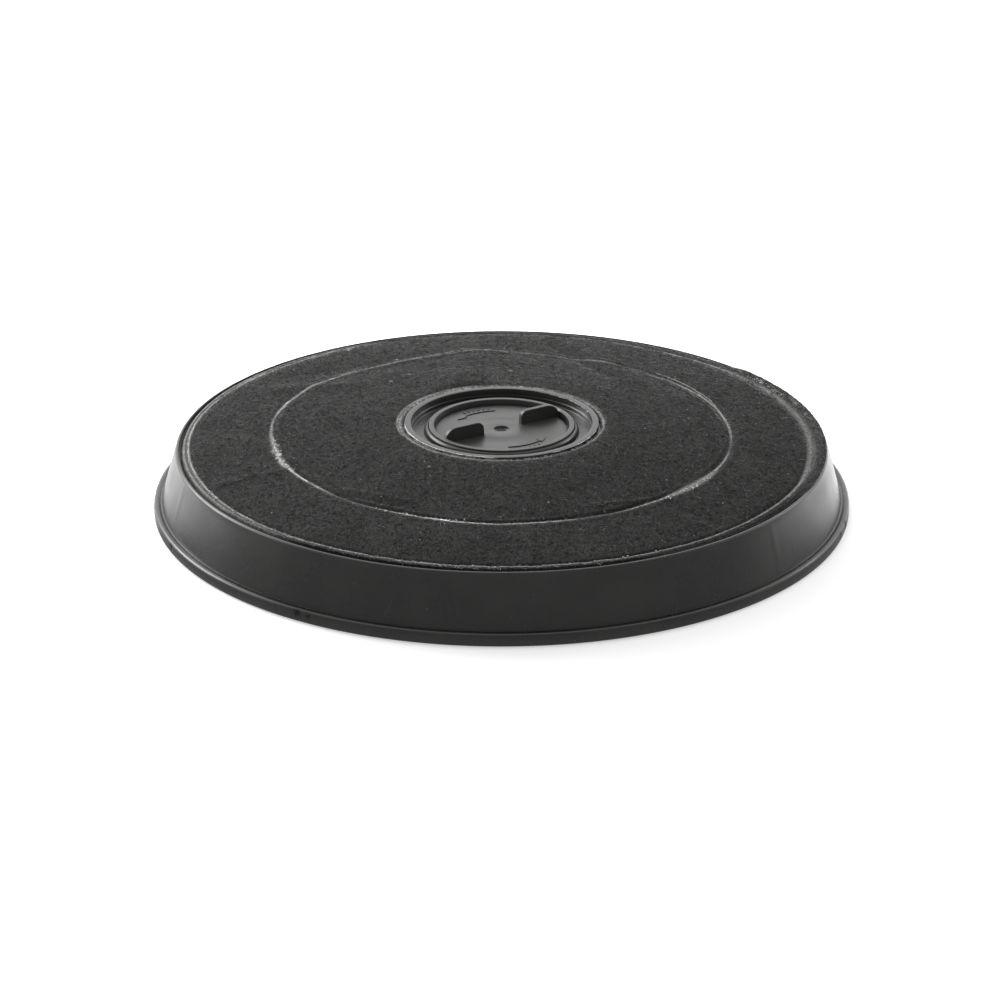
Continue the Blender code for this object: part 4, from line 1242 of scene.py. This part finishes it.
def lightRoom():
    world = bpy.data.worlds.new("white_room")
    bpy.context.scene.world = world
    world.use_nodes = True
    tree = world.node_tree
    tree.nodes.clear()
    rays = addNode(tree, "LightPath", out=None)
    direction = addNode(tree, "TexCoord", out="Generated")
    apart = addNode(tree, "SeparateXYZ", {"Vector": direction}, out=None)
    room = addNode(tree, "MapRange", {
        "Value": apart.outputs["Y"], 1: studio["roomTurn"][0], 2: studio["roomTurn"][1],
        3: studio["room"][0], 4: studio["room"][1],
    }, interpolation_type="SMOOTHSTEP")
    direct, through = rays.outputs["Is Camera Ray"], rays.outputs["Is Transmission Ray"]
    seen = addNode(tree, "Math", {0: direct, 1: through}, operation="MAXIMUM")
    strength = addNode(tree, "Mix", {0: seen, 2: room, 3: 1.0})
    sky = addNode(tree, "Background", {"Color": (1, 1, 1, 1), "Strength": strength})
    addNode(tree, "OutputWorld", {"Surface": sky})
    world.cycles.sampling_method = "NONE"            # so that gloss meets its own part of the world
    for name, place, width, depth, radiance, mirrored in studio["lamps"]:
        lamp = bpy.data.lights.new(name, "AREA")
        lamp.shape = "RECTANGLE"
        lamp.size, lamp.size_y = width, depth
        lamp.energy = radiance * math.pi * width * depth
        holder = bpy.data.objects.new(name, lamp)
        holder.location = place
        holder.rotation_euler = (-Vector(place)).to_track_quat("-Z", "Y").to_euler()
        holder.visible_camera = False
        holder.visible_glossy = mirrored
        bpy.context.scene.collection.objects.link(holder)


def layFloor():
    bm = bmesh.new()
    bmesh.ops.create_grid(bm, x_segments=1, y_segments=1, size=studio["floorReach"])
    mesh = bpy.data.meshes.new("floor")
    bm.to_mesh(mesh)
    bm.free()
    floor = bpy.data.objects.new("floor", mesh)
    bpy.context.scene.collection.objects.link(floor)
    material, tree = newMaterial("matt_white_board")
    rays = addNode(tree, "LightPath", out=None)
    place = addNode(tree, "TexCoord", out="Object")
    behind = addNode(tree, "SeparateXYZ", {"Vector": place}, out="Y")
    lit = addNode(tree, "MapRange", {
        "Value": behind, 1: studio["floorTurn"][0], 2: studio["floorTurn"][1],
        3: studio["glossOnlyFloorGlow"][0], 4: studio["glossOnlyFloorGlow"][1],
    }, interpolation_type="SMOOTHSTEP")
    glow = addNode(tree, "Math", {0: rays.outputs["Is Camera Ray"], 1: studio["floorGlow"]},
                   operation="MULTIPLY")
    board = addNode(tree, "BsdfDiffuse", {"Color": studio["floorColour"]})
    shine = addNode(tree, "Emission", {"Color": (1, 1, 1, 1), "Strength": glow})
    both = addNode(tree, "AddShader", {0: board, 1: shine})
    # painted reflection: gloss sees the floor as a glow, brighter than white behind and dimmer in front as
    # if shaded
    mirrored = addNode(tree, "Emission", {"Color": (1, 1, 1, 1), "Strength": lit})
    either = addNode(tree, "MixShader", {0: rays.outputs["Is Glossy Ray"], 1: both, 2: mirrored})
    addNode(tree, "OutputMaterial", {"Surface": either})
    material.cycles.emission_sampling = "NONE"
    mesh.materials.append(material)


def placeCamera():
    look = cameraView
    lens = bpy.data.cameras.new("camera")
    lens.lens = look["lens"]
    lens.sensor_width = 36
    lens.shift_x, lens.shift_y = look["shiftX"], look["shiftY"]
    lens.clip_start, lens.clip_end = 0.01, 20
    camera = bpy.data.objects.new("camera", lens)
    tilt = math.radians(look["elevation"])
    camera.location = (0, -look["distance"] * mm * math.cos(tilt), look["distance"] * mm * math.sin(tilt))
    camera.rotation_euler = Euler((math.pi / 2 - tilt, 0, 0))
    bpy.context.scene.collection.objects.link(camera)
    bpy.context.scene.camera = camera


def dress(piece, material, body, slot, *nodes):      # finish, body, slot, which is not used, and the solids it stands for
    piece.data.materials.clear()
    piece.data.materials.append(material)
    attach(piece, body)
    if nodes:
        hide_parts(*nodes)


placeCamera()
lightRoom()
layFloor()
bpy.context.scene.view_settings.view_transform = "Standard"
print("camera, lights and floor are in place")

polypropylene = mouldedPolypropylene("moulded_polypropylene", polypropyleneLook)
housing = shapeHousing()
wearHousing(housing)
dress(housing, polypropylene, "filter", "housing_plastic", "housing")
dress(shapeFlash(), polypropylene, "filter", "housing_plastic")
print("housing:", len(housing.data.polygons), "faces")

felt = needledFelt("needled_polyester_felt")
frontFelt = shapeFrontFelt()
dress(frontFelt, felt, "filter", "front_felt", "front_felt")
loose = looseFibre("loose_polyester_fibre", fibreColours)
nap = shapeNap()
dress(nap, looseFibre("standing_polyester_nap", napColours), "filter", "front_felt")
lint, melted = shapeFibres()
dress(lint, loose, "filter", "front_felt")
dress(melted, looseFibre("melted_polyester_thread", threadColours), "filter", "front_felt")
print("front felt:", len(frontFelt.data.polygons), "faces, nap and lint:",
      len(nap.data.polygons) + len(lint.data.polygons))

backFelt = shapeBackFelt()
dress(backFelt, felt, "filter", "back_felt", "back_felt")
print("back felt:", len(backFelt.data.polygons), "faces")

knob = shapeKnob()
dress(knob, mouldedPolypropylene("moulded_knob_polypropylene", knobPlasticLook), "knob",
      "knob_plastic", "turn_knob")
print("knob:", len(knob.data.polygons), "faces")

granules = activatedCarbon("activated_carbon_granules")
for name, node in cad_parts.items():
    if name.startswith("carbon_"):
        node.data.materials.clear()
        node.data.materials.append(granules)
print("carbon granules are dressed")
